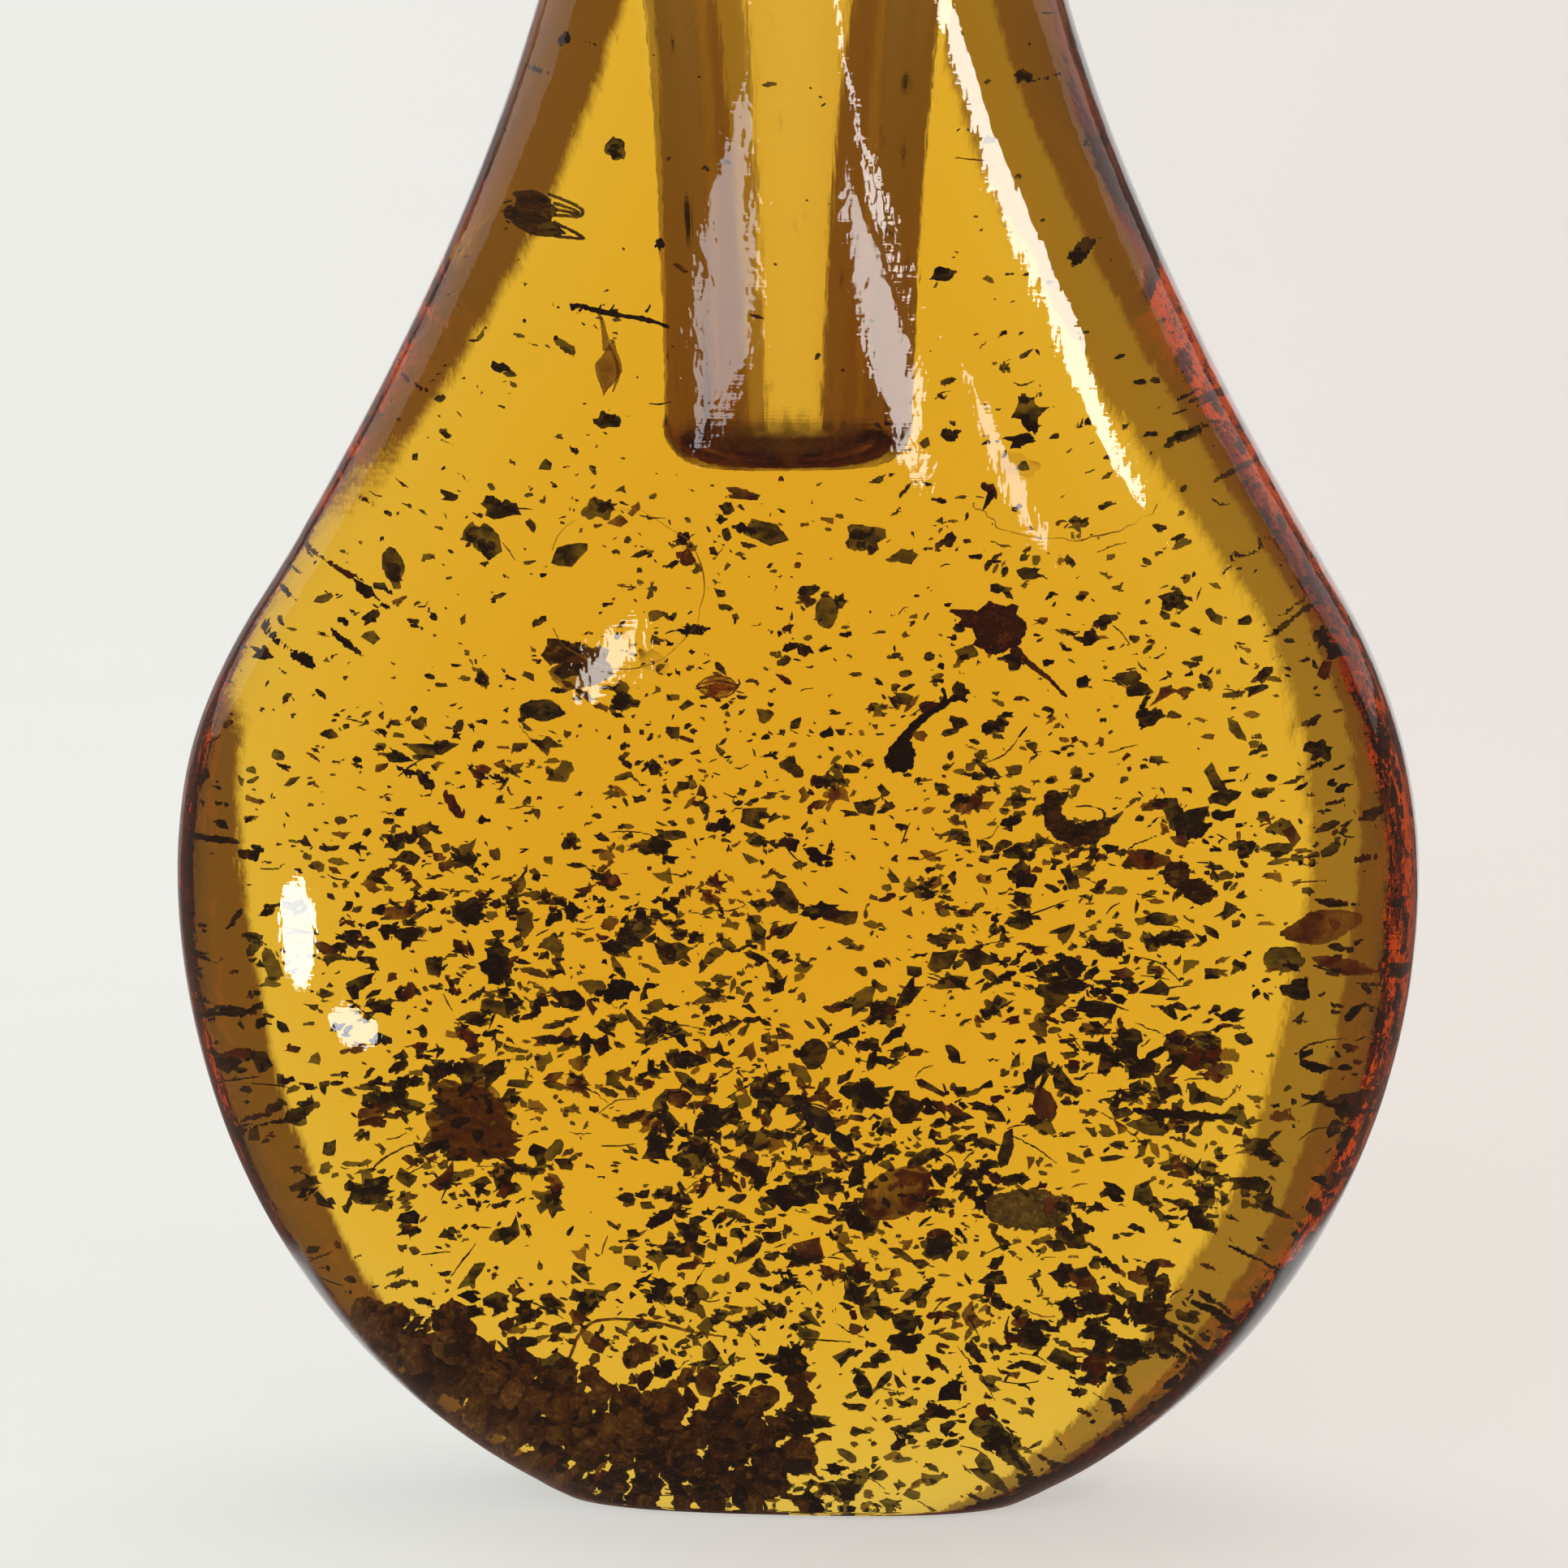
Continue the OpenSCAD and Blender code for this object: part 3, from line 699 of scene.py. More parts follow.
# what the debris is made of: three colours mottled together, with its own grain and gloss
def debrisSurface(name, dark, middle, light, scale=1.5, stretch=(1, 1, 1), rough=0.5, depth=0.05, clear=0.0,
                  gloss=0.3):
    material, tree, out, place = newMaterial(name)
    broad = speckle(tree, place, 0.25, 2, 0.5)
    mottle = speckle(tree, place, scale, 5, 0.65, stretch)
    fine = speckle(tree, place, scale * 4, 3, 0.6, stretch)
    colour = (mottle * 0.7 + broad * 0.5 - 0.1).rise(0.38, 0.62).blend(dark, middle)
    colour = (fine * 0.6 + mottle * 0.5).rise(0.56, 0.74).blend(colour, light)
    bump = addNode(tree, "ShaderNodeBump", {},
                   {"Height": mottle + fine * 0.5, "Distance": depth * mm, "Strength": 1.0})
    values = {"Base Color": colour, "Roughness": fine.rise(0.3, 0.7) * 0.25 + rough, "Normal": bump,
              "Specular IOR Level": gloss}
    if clear:
        values["Alpha"] = 1 - (mottle * 0.6 + broad * 0.5).rise(0.42, 0.66) * clear
    shade = addNode(tree, "ShaderNodeBsdfPrincipled", {}, values)
    tree.links.new(shade.socket, out.inputs["Surface"])
    return material


insectShell = debrisSurface("insectShell", (0.06, 0.03, 0.012), (0.17, 0.09, 0.035), (0.30, 0.20, 0.07),
                            2.5, (0.4, 1, 4), 0.35, clear=0.3, gloss=0.5)
twigBark = debrisSurface("twigBark", (0.010, 0.006, 0.003), (0.035, 0.018, 0.008), (0.09, 0.05, 0.02), 2.5,
                         (0.5, 1, 2), 0.6)
redSeed = debrisSurface("redSeed", (0.20, 0.04, 0.006), (0.50, 0.15, 0.02), (0.8, 0.35, 0.06), 0.9,
                        (1, 1, 0.5), 0.3, clear=0.45, gloss=0.5)
purpleHusk = debrisSurface("purpleHusk", (0.09, 0.02, 0.03), (0.24, 0.07, 0.08), (0.42, 0.18, 0.14), 1.6,
                           rough=0.45, clear=0.1)
orangeCoat = debrisSurface("orangeCoat", (0.75, 0.20, 0.01), (0.95, 0.36, 0.02), (1, 0.6, 0.1), 1.1,
                           rough=0.2, clear=1.0, gloss=0.6)
brownLeaf = debrisSurface("brownLeaf", (0.06, 0.02, 0.004), (0.18, 0.07, 0.012), (0.32, 0.15, 0.03), 1.4,
                          (1, 1, 3), 0.55, clear=0.4)
greyFrass = debrisSurface("greyFrass", (0.25, 0.24, 0.15), (0.6, 0.58, 0.42), (0.9, 0.88, 0.7), 2.2,
                          rough=0.75)
crustDust = debrisSurface("crustDust", (0.18, 0.10, 0.08), (0.48, 0.32, 0.26), (0.85, 0.66, 0.56), 1.3,
                          rough=0.8, clear=0.2)
oliveChip = debrisSurface("oliveChip", (0.014, 0.009, 0.003), (0.055, 0.036, 0.007), (0.15, 0.12, 0.018),
                          1.3, (1, 1, 1.6), 0.5, clear=0.42)
barkDust = debrisSurface("barkDust", (0.025, 0.015, 0.011), (0.10, 0.05, 0.034), (0.26, 0.16, 0.11), 1.4,
                         rough=0.75, clear=0.35)
rottenWood = debrisSurface("rottenWood", (0.30, 0.15, 0.03), (0.6, 0.35, 0.07), (0.85, 0.6, 0.2), 1.6,
                           (0.35, 1, 1.2), 0.65, clear=0.55)


# the beetle-like piece: a dark body, a wing case above and below it, and wing tips standing out
# behind as pointed loops
wingCase = {
    "ribs": 14,
    "parts": (((-0.12, 0, 0.04), (1.45, 0.9, 1.0), 6, 0.0),
              ((-0.16, -0.1, -0.46), (2.05, 0.75, 0.78), 14, 0.35),
              ((-0.2, -0.05, 0.5), (1.35, 0.6, 0.5), 8, 0.3), ((-0.95, 0, -0.1), (0.5, 0.5, 0.55), 0, 0.1)),
    "loops": (((0.35, 0.62), (1.28, 0.24), (1.3, -0.08), (0.5, -0.1)),
              ((0.5, 0.3), (1.15, 0.12), (1.2, 0.0), (0.55, 0.1)),
              ((0.45, -0.32), (1.3, -0.78), (1.22, -0.86), (0.45, -0.84))),
    "vein": 0.06,
}


def makeWingCase():
    rng = random.Random(11)
    middle, size = boxOf("wing_case")
    heap = Heap()
    for spot, dims, lean, pinch in wingCase["parts"]:
        heap.add(lumpForm(rng, dims, 0.14, 4, 1.6, pinch, wingCase["ribs"]), middle + spot, (0, lean, 0))
    for loop in wingCase["loops"]:
        heap.add(stalkForm(rng, [(x, 0.02 * x, z) for x, z in loop], [wingCase["vein"]] * len(loop), 7, 8),
                 middle)
    for _ in range(26):
        spot = (rng.uniform(-0.4, 0.15) * size[0], rng.uniform(-0.3, 0.3),
                rng.uniform(-0.38, 0.3) * size[2])
        heap.add(flakeForm(rng, rng.uniform(0.15, 0.4), 0.12, 0.06, 6), middle + spot,
                 (rng.uniform(-60, 60), rng.uniform(-40, 40), 0))
    heap.finish("wingCase", insectShell, "wing_case", "insect_shell")


def makeTwigs():
    rng = random.Random(12)
    middle, size = boxOf("neck_twig")
    x, z = size[0] / 2, size[2] / 2
    path = [(-x * 0.97, 0.3, z * 0.55), (-x * 0.8, 0.28, z * 0.7), (-x * 0.55, 0.2, z * 0.45),
            (-x * 0.1, 0.1, z * 0.1), (x * 0.35, -0.05, -z * 0.1), (x * 0.7, -0.15, -z * 0.4),
            (x * 0.96, -0.25, -z * 0.75)]
    heap = Heap().add(stalkForm(rng, path, (0.14, 0.09, 0.11, 0.08, 0.09, 0.08, 0.05), 9, 5, 0.3), middle)
    for along in (-0.8, -0.45, -0.2, 0.5):
        start = np.array((x * along, 0.2, z * 0.3))
        heap.add(stalkForm(rng, [start, start + (0.1, 0, 0.12), start + (0.16, 0, 0.26)],
                           (0.05, 0.04, 0.02), 6, 2), middle)
    heap.finish("neckTwig", twigBark, "neck_twig", "twig_wood")

    middle, size = boxOf("hooked_twig")
    x, z = size[0] / 2, size[2] / 2
    path = [(-x * 0.75, 0, -z * 0.5), (-x * 0.45, 0, -z * 0.1), (-x * 0.1, 0.05, z * 0.25),
            (x * 0.3, 0, z * 0.5), (x * 0.7, 0, z * 0.72), (x * 0.93, 0, z * 0.62)]
    heap = Heap().add(stalkForm(rng, path, (0.24, 0.17, 0.13, 0.12, 0.12, 0.07), 9, 5, 0.3), middle)
    heap.add(stalkForm(rng, [(x * 0.3, 0, z * 0.5), (x * 0.42, 0, z * 0.72), (x * 0.36, 0, z * 0.92)],
                       (0.1, 0.08, 0.05), 8, 4, 0.25), middle)
    heap.add(lumpForm(rng, (1.05, 0.5, 1.15), 0.5, 3, 1.8), middle + (-x * 0.62, 0, -z * 0.6))
    for _ in range(14):
        flake = flakeForm(rng, rng.uniform(0.25, 0.6), 0.25, 0.14, 7, 0.7)
        spot = np.array((rng.uniform(-0.45, 0.45), rng.uniform(-0.15, 0.15), rng.uniform(-0.45, 0.45)))
        heap.add(flake, middle + (-x * 0.6, 0, -z * 0.6) + spot,
                 (rng.uniform(-50, 50), rng.uniform(-90, 90), 0))
    heap.finish("hookedTwig", twigBark, "hooked_twig", "twig_wood")

    middle, size = boxOf("lower_twig")
    x, z = size[0] / 2, size[2] / 2
    path = [(-x * 0.96, 0, z * 0.4), (-x * 0.5, 0.05, z * 0.15), (0, 0, z * 0.1),
            (x * 0.5, -0.05, -z * 0.1), (x * 0.95, 0, -z * 0.15)]
    heap = Heap().add(stalkForm(rng, path, (0.07, 0.15, 0.18, 0.14, 0.05), 9, 6, 0.35), middle)
    for along in (-0.6, -0.1, 0.35):
        start = np.array((x * along, 0, 0.0))
        heap.add(stalkForm(rng, [start, start + (0.15, 0, -0.15), start + (0.35, 0, -0.2)],
                           (0.08, 0.06, 0.03), 6, 2), middle)
    heap.finish("lowerTwig", twigBark, "lower_twig", "twig_wood")

    middle, size = boxOf("root_hair")
    x, z = size[0] / 2, size[2] / 2
    path = [(-x * 0.98, 0, -z * 0.9), (-x * 0.9, 0, -z * 0.3), (-x * 0.82, 0.02, z * 0.25),
            (-x * 0.66, 0.04, z * 0.72), (-x * 0.35, 0.05, z * 0.9), (x * 0.1, 0, z * 0.8),
            (x * 0.6, -0.04, z * 0.45), (x * 0.97, 0, z * 0.3)]
    hair = Heap().add(stalkForm(rng, path, (0.05, 0.06, 0.07, 0.06, 0.05, 0.06, 0.05, 0.03), 8, 8, 0.12),
                      middle)
    hair.finish("rootHair", redSeed, "root_hair", "red_brown_seed", smooth=True)


def makeSeeds():
    rng = random.Random(13)
    middle, size = boxOf("bud_scale")
    heap = Heap().add(lumpForm(rng, (2.1, 0.85, 0.95), 0.14, 4, 1.5, 0.75), middle + (0, 0, -0.5),
                      (0, -80, 0))
    heap.add(stalkForm(rng, [(-0.05, 0, 0.1), (-0.12, 0, 0.55), (-0.2, 0, 1.05), (-0.38, 0, 1.5)],
                       (0.16, 0.1, 0.07, 0.04), 9, 6), middle)
    heap.add(stalkForm(rng, [(0.1, -0.1, 0.15), (0.28, -0.1, -0.35), (0.3, -0.1, -0.8),
                             (0.12, -0.1, -1.35)], (0.04, 0.05, 0.05, 0.03), 7, 6), middle)
    heap.finish("budScale", redSeed, "bud_scale", "red_brown_seed", smooth=True)

    middle, size = boxOf("orange_seed_coat")
    heap = Heap().add(lumpForm(rng, (size[0] * 0.96, size[1] * 0.6, size[2] * 0.86), 0.1, 4, 1.2, 0.35),
                      middle)
    heap.finish("orangeSeedCoat", orangeCoat, "orange_seed_coat", "orange_seed", smooth=True)
    rim = Heap()
    for bulge in (0.43, 0.22, -0.1, -0.42):
        path = [(-size[0] * 0.47, -0.1, 0), (-size[0] * 0.25, -0.18, bulge * size[2] * 0.75),
                (0.05, -0.22, bulge * size[2]), (size[0] * 0.3, -0.18, bulge * size[2] * 0.7),
                (size[0] * 0.47, -0.1, 0)]
        rim.add(stalkForm(rng, path, (0.02, 0.035, 0.04, 0.035, 0.02), 6, 6), middle)
    rim.add(stalkForm(rng, [(size[0] * 0.42, 0, 0), (size[0] * 0.5, 0, 0.12), (size[0] * 0.46, 0, 0.26)],
                      (0.06, 0.05, 0.03), 7, 4), middle)
    rim.finish("orangeSeedRim", redSeed, None, "orange_seed", smooth=True)

    middle, size = boxOf("dark_seed")
    heap = Heap().add(lumpForm(rng, (size[0] * 0.97, size[1] * 0.9, size[2] * 0.9), 0.16, 4, 1.6, 0.15, 9),
                      middle, (0, 6, 0))
    heap.finish("darkSeed", oliveChip, "dark_seed", "olive_chip", smooth=True)

    middle, size = boxOf("brown_seed")
    heap = Heap().add(lumpForm(rng, (2.75, size[1] * 0.9, 1.7), 0.16, 4, 1.1, 0.12), middle, (0, -28, 0))
    heap.add(stalkForm(rng, [(0.9, 0, 0.5), (1.1, 0, 0.62), (1.25, 0, 0.78)], (0.2, 0.14, 0.06), 8, 4),
             middle)
    heap.finish("brownSeed", redSeed, "brown_seed", "red_brown_seed", smooth=True)

    middle, size = boxOf("rim_seed")
    heap = Heap().add(lumpForm(rng, (2.6, size[1] * 0.9, 1.15), 0.16, 4, 1.4, 0.25), middle, (0, -14, 0))
    heap.finish("rimSeed", redSeed, "rim_seed", "red_brown_seed", smooth=True)

    middle, size = boxOf("grey_pellet")
    heap = Heap().add(lumpForm(rng, size * (0.9, 0.8, 0.85), 0.2, 4, 2.6), middle)
    for _ in range(70):
        turn, tall = rng.uniform(0, 2 * math.pi), rng.uniform(-0.9, 0.9)
        girth = math.sqrt(1 - tall**2)
        spot = (tall * size[0] * 0.42, math.sin(turn) * size[1] * 0.38 * girth,
                math.cos(turn) * size[2] * 0.4 * girth)
        heap.add(flakeForm(rng, rng.uniform(0.2, 0.5), rng.uniform(0.15, 0.3), 0.12, 6), middle + spot,
                 (rng.uniform(-90, 90), rng.uniform(-60, 60), 0))
    heap.finish("greyPellet", greyFrass, "grey_pellet", "grey_frass")

    heap = Heap()
    for middle, size, _ in solidsOf("oval_pellets"):
        heap.add(lumpForm(rng, size * (0.97, 0.95, 0.97), 0.12, 3, 1.5), middle)
    heap.finish("ovalPellets", oliveChip, "oval_pellets", "olive_chip", smooth=True)


def makeHusksAndScraps():
    rng = random.Random(14)
    middle, size = boxOf("stalked_husk")
    x, z = size[0] / 2, size[2] / 2
    cup = middle + (-x * 0.12, 0, z * 0.36)
    heap = Heap().add(lumpForm(rng, (1.9, 0.85, 1.8), 0.3, 4, 1.0), cup)
    for turn in range(7):
        a = math.radians(turn * 51 + 10)
        flake = flakeForm(rng, 1.15, 0.8, 0.3, 9, 0.5)
        spot = (0.5 * math.cos(a), rng.uniform(-0.2, 0.2), 0.5 * math.sin(a))
        heap.add(flake, cup + spot, (rng.uniform(-25, 25), -math.degrees(a), 0))
    heap.add(flakeForm(rng, 1.7, 0.75, 0.25, 11, 0.7), cup + (-0.95, 0, 0.35), (10, 8, 0))
    heap.add(stalkForm(rng, [(x * 0.1, 0, 0), (x * 0.38, 0, -z * 0.3), (x * 0.7, 0.03, -z * 0.62),
                             (x * 0.95, 0, -z * 0.93)], (0.17, 0.1, 0.08, 0.05), 9, 6, 0.2), middle)
    heap.finish("stalkedHusk", purpleHusk, "stalked_husk", "purple_husk")

    middle, size = boxOf("two_lobed_husk")
    heap = Heap().add(lumpForm(rng, (0.95, 0.7, 0.95), 0.3, 3, 1.4), middle + (-0.38, 0, 0.25))
    heap.add(lumpForm(rng, (1.1, 0.72, 0.85), 0.3, 3, 1.4), middle + (0.3, 0, -0.3), (0, 30, 0))
    for _ in range(9):
        heap.add(flakeForm(rng, rng.uniform(0.3, 0.6), 0.25, 0.12, 7, 0.7),
                 middle + (rng.uniform(-0.6, 0.6), rng.uniform(-0.2, 0.2), rng.uniform(-0.5, 0.5)),
                 (0, rng.uniform(-90, 90), 0))
    heap.finish("twoLobedHusk", brownLeaf, "two_lobed_husk", "brown_leaf")

    middle, size = boxOf("curled_grub")
    path, widths = [], []
    for i in range(15):
        a = math.radians(160 + 176 * i / 14)
        path.append((1.0 * math.cos(a) + 0.1, 0, 1.0 * math.sin(a) + 0.35))
        widths.append((0.2 + 0.2 * math.sin(math.pi * (i + 2) / 17)) * (1 + 0.13 * (-1) ** i))
    heap = Heap().add(stalkForm(rng, path, widths, 14, 4, 0.05), middle)
    heap.add(lumpForm(rng, (0.55, 0.5, 0.5), 0.15, 3), middle + path[0])
    heap.finish("curledGrub", insectShell, "curled_grub", "insect_shell", smooth=True)

    middle, size = boxOf("brown_leaf_scrap")
    heap = Heap()
    for spot, long, wide, lean in (((-0.35, 0, 0.25), 1.6, 1.15, 15), ((0.35, 0.05, -0.25), 1.3, 0.9, 60),
                                   ((-0.1, -0.05, 0.45), 1.1, 0.6, -20), ((0.5, 0, 0.35), 0.9, 0.5, 35)):
        heap.add(flakeForm(rng, long, wide, 0.16, 15, 0.6), middle + spot, (rng.uniform(-15, 15), lean, 0))
    heap.finish("brownLeafScrap", brownLeaf, "brown_leaf_scrap", "brown_leaf")

    middle, size = boxOf("wood_flake")
    heap = Heap()
    for _ in range(11):
        long = rng.uniform(1.6, 2.9)
        spot = (rng.uniform(-0.5, 0.5) * (size[0] - long), rng.uniform(-0.25, 0.25),
                rng.uniform(-0.27, 0.27) * size[2])
        heap.add(flakeForm(rng, long, rng.uniform(0.8, 1.5), 0.16, 17, 0.55), middle + spot,
                 (rng.uniform(-8, 8), rng.uniform(-25, 25), 0))
    heap.finish("woodFlake", rottenWood, "wood_flake", "brown_leaf")

    middle, size = boxOf("lower_cone_scale")
    heap = Heap()
    for i in range(7):
        spot = (rng.uniform(-0.25, 0.25), rng.uniform(-0.2, 0.2), (i / 6 - 0.5) * size[2] * 0.62)
        heap.add(flakeForm(rng, rng.uniform(0.8, 1.25), rng.uniform(0.6, 1.0), 0.25, 11, 0.6),
                 middle + spot, (rng.uniform(-20, 20), rng.uniform(-70, -10), 0))
    heap.finish("lowerConeScale", brownLeaf, "lower_cone_scale", "brown_leaf")


# loose chips: each is a ragged flake with smaller ones stuck to it
def makeChips():
    rng = random.Random(15)
    for node in ("neck_chips", "shoulder_chips", "middle_chips", "lower_chips", "base_chips"):
        heap = Heap()
        for middle, size, _ in solidsOf(node):
            heap.add(flakeForm(rng, size[0] * 0.95, size[2] * 0.9, size[1] * 0.45, 15, 0.6), middle,
                     (rng.uniform(-15, 15), rng.uniform(-12, 12), 0))
            for _ in range(rng.randint(2, 6)):
                spot = size * (rng.uniform(-0.3, 0.3), rng.uniform(-0.2, 0.2), rng.uniform(-0.3, 0.3))
                heap.add(flakeForm(rng, size[0] * rng.uniform(0.25, 0.5), size[2] * rng.uniform(0.2, 0.45),
                                   size[1] * 0.25, 9, 0.75),
                         middle + spot, (rng.uniform(-40, 40), rng.uniform(-90, 90), 0))
        words = node.split("_")
        heap.finish(words[0] + words[1].capitalize(), oliveChip, node, "olive_chip")


# 1 at the flask's skin, 0 at its middle line, for a spot in millimetres
def skinLevel(x, y, z):
    power = float(squareness(z * mm))
    across = abs(x) * mm / float(halfWidth(z * mm))
    deep = abs(y) * mm / float(halfDepth(z * mm))
    return across**power + deep**power


# the crust of bark dust low on the left: crumbs heaped along the curve of the bowl
crust = {"crumbs": 620, "thick": (1.2, 2.4), "deep": 1.3, "grain": (0.35, 1.3), "edge": 0.93}


def makeCrust():
    rng = random.Random(16)
    cloud = np.vstack([solid[2] for solid in solidsOf("bark_crust")])
    low, high = cloud.min(0), cloud.max(0)
    columns = np.linspace(low[0] + 0.8, high[0] - 0.4, 9)
    middles = [np.mean(cloud[np.abs(cloud[:, 0] - x) < 1.6][:, 2]) for x in columns]
    heap = Heap()
    made = 0
    while made < crust["crumbs"]:
        share = rng.random()
        x = low[0] + 0.6 + (high[0] - low[0] - 1) * share
        thick = crust["thick"][0] + (crust["thick"][1] - crust["thick"][0]) * share
        z = float(np.interp(x, columns, middles)) + rng.gauss(0.2, 0.55) * thick
        spot = (x, rng.gauss(0, 0.6) * crust["deep"], z)
        if z < 0.7 or skinLevel(*spot) > crust["edge"]:
            continue
        long = rng.uniform(*crust["grain"])
        if rng.random() < 0.35:
            heap.add(lumpForm(rng, (long, long * 0.7, long * 0.75), 0.5, 2, 1.6), spot,
                     (0, rng.uniform(0, 180), 0))
        else:
            heap.add(flakeForm(rng, long, long * rng.uniform(0.4, 0.8), long * 0.3, 9, 0.65), spot,
                     (rng.uniform(-50, 50), rng.uniform(-60, 60), 0))
        made += 1
    heap.finish("barkCrust", crustDust, "bark_crust", "bark_dust")


# fine crumbs: many more low in the flask, and bunched together
crumbs = {
    "count": 5900,
    "heights": ((1.0, 0.75), (6.0, 1.0), (14.0, 1.2), (19.0, 1.1), (25.0, 0.78), (31.0, 0.6), (37.0, 0.34),
                (45.0, 0.1), (62.0, 0.07)),
    # middling length by height
    "size": ((2.0, 0.46), (15.0, 0.56), (24.0, 0.44), (32.0, 0.36), (44.0, 0.27), (62.0, 0.22)),
    "bunches": 0.022,
    "byFoot": 330,            # crumbs in the dusty layer just above the foot
    "spread": 0.55,
    "longest": 1.6,
    "edge": 0.86,             # how near the skin a crumb may lie
    "wellClear": 1.3,
    "fullWidth": 22.5,        # half the bowl's width, where a level holds the most crumbs
}


def makeCrumbs():
    rng = random.Random(17)
    heights, shares = zip(*crumbs["heights"])
    levels, lengths = zip(*crumbs["size"])
    heaps = {"darkCrumbs": Heap(), "brownCrumbs": Heap(), "clearCrumbs": Heap()}
    made = 0
    while made < crumbs["count"]:
        z = rng.uniform(heights[0], heights[-1]) if made > crumbs["byFoot"] else rng.uniform(0.6, 2.4)
        width = float(halfWidth(z * mm)) / mm
        if rng.random() > np.interp(z, heights, shares) / max(shares) * width / crumbs["fullWidth"]:
            continue
        x = rng.uniform(-1, 1) * width
        y = rng.uniform(-1, 1) * float(halfDepth(z * mm)) / mm
        level = skinLevel(x, y, z)
        if level > crumbs["edge"]:
            continue
        overFloor = z > flask["wellFloor"] / mm - crumbs["wellClear"]
        if overFloor and math.hypot(x, y) < flask["wellRadius"] / mm + crumbs["wellClear"]:
            continue
        bunch = noise.noise(Vector((x * 0.22, y * 0.1, z * 0.35)))
        bunch += 0.6 * noise.noise(Vector((x * 0.6, y * 0.3, z * 0.8)))
        if rng.random() > 0.62 + 1.1 * bunch:
            continue
        middling = float(np.interp(z, levels, lengths))
        long = min(crumbs["longest"], middling * math.exp(rng.gauss(0, crumbs["spread"])))
        wide = long * rng.uniform(0.28, 0.85)
        kind = rng.choices(tuple(heaps), (0.62, 0.23, 0.15))[0]
        tilt = (rng.gauss(0, 35), rng.gauss(0, 28), rng.gauss(0, 25))
        if rng.random() < 0.05:
            bend = rng.uniform(-0.2, 0.2) * long
            form = stalkForm(rng, [(-long * 0.7, 0, 0), (0, 0, bend), (long * 0.7, 0, 0)],
                             (0.02, 0.035, 0.015), 5, 3)
        else:
            form = flakeForm(rng, long, wide, long * rng.uniform(0.12, 0.3), rng.randint(5, 9), 0.75)
        heaps[kind].add(form, (x, y, z), tilt)
        made += 1
        # now and then a bunch of flakes stuck together
        if 7 < z < 27 and level < 0.6 and rng.random() < crumbs["bunches"]:
            for _ in range(rng.randint(4, 9)):
                long = rng.uniform(0.35, 1.0)
                near = (x + rng.gauss(0, 0.55), y + rng.gauss(0, 0.25), z + rng.gauss(0, 0.3))
                heaps[kind].add(flakeForm(rng, long, long * rng.uniform(0.35, 0.8), 0.12, 9, 0.8), near,
                                (rng.uniform(-40, 40), rng.gauss(0, 30), 0))
    finishes = ((oliveChip, "olive_chip"), (barkDust, "bark_dust"), (redSeed, "red_brown_seed"))
    for (name, heap), (material, slot) in zip(heaps.items(), finishes):
        heap.finish(name, material, slot=slot)


makeWingCase()
makeTwigs()
makeSeeds()
makeHusksAndScraps()
makeChips()
makeCrust()
makeCrumbs()


# stress cracks in the amber: a thin clear lens, of which only the rim is drawn, as a line painted light
# yellow for the painted reflection off the crack's edge, and what shows beside them
cracks = {
    "round": {"middle": (-5.4, -5.2, 33.1), "size": (5.6, 5.6), "arc": (-150, 150), "lean": 4},
    "shoulder": {"middle": (9.8, -4.6, 36.6), "size": (6.4, 3.6), "arc": (-165, -20), "lean": -6},
}


def makeCracks():
    rng = random.Random(18)
    # the rim's light yellow is painted reflection of the crack's edge, not a colour the crack has
    rim = debrisSurface("paintedCrackEdgeGlint", (0.75, 0.55, 0.2), (0.9, 0.7, 0.3), (1, 0.85, 0.5), 0.6, rough=0.15,
                        clear=0.95, gloss=0.8)
    veil = debrisSurface("crackVeil", (0.30, 0.16, 0.03), (0.45, 0.26, 0.06), (0.6, 0.4, 0.12), 0.5,
                         rough=0.25, clear=0.9)
    lines, sheets = Heap(), Heap()
    for crack in cracks.values():
        path = []
        for i in range(25):
            a = math.radians(crack["arc"][0] + (crack["arc"][1] - crack["arc"][0]) * i / 24)
            jolt = 1 + 0.04 * rng.uniform(-1, 1)
            path.append((crack["size"][0] / 2 * jolt * math.cos(a), 0.15 * math.cos(a),
                         crack["size"][1] / 2 * jolt * math.sin(a)))
        lines.add(stalkForm(rng, path, [0.018 + 0.012 * rng.random() for _ in path], 6, 3), crack["middle"],
                  (crack["lean"], 0, 0))
    for spot, long, wide, lean in (((-6.9, -3.5, 30.2), 2.9, 1.5, -12), ((-4.4, -4.9, 30.6), 1.6, 0.8, 30),
                                   ((8.2, -4.9, 37.4), 1.5, 1.0, 10)):
        sheets.add(flakeForm(rng, long, wide, 0.08, 17, 0.4), spot, (5, lean, 0))
    lines.finish("paintedCrackEdgeGlints", rim, smooth=True)
    sheets.finish("crackVeils", veil)


makeCracks()
print("debris built")


# the stopper: cap, collar, cork and the dowel through them

def latheForm(profile, around, dents=0, grain=1.0):
    verts, faces = [(0, 0, profile[0][1])], []
    for r, z in profile[1:-1]:
        for i in range(around):
            a = 2 * math.pi * i / around
            spot = Vector((math.cos(a) * r, math.sin(a) * r, z))
            pull = dents * (0.5 + noise.noise(spot * grain)) if r > 1.5 else 0
            verts.append(((r - pull) * math.cos(a), (r - pull) * math.sin(a), z))
    verts.append((0, 0, profile[-1][1]))
    rings = len(profile) - 2
    for i in range(around):
        k = (i + 1) % around
        faces.append((0, 1 + k, 1 + i))
        for j in range(rings - 1):
            a, b = 1 + j * around, 1 + (j + 1) * around
            faces.append((a + i, a + k, b + k, b + i))
        last = 1 + (rings - 1) * around
        faces.append((last + i, last + k, len(verts) - 1))
    return verts, faces


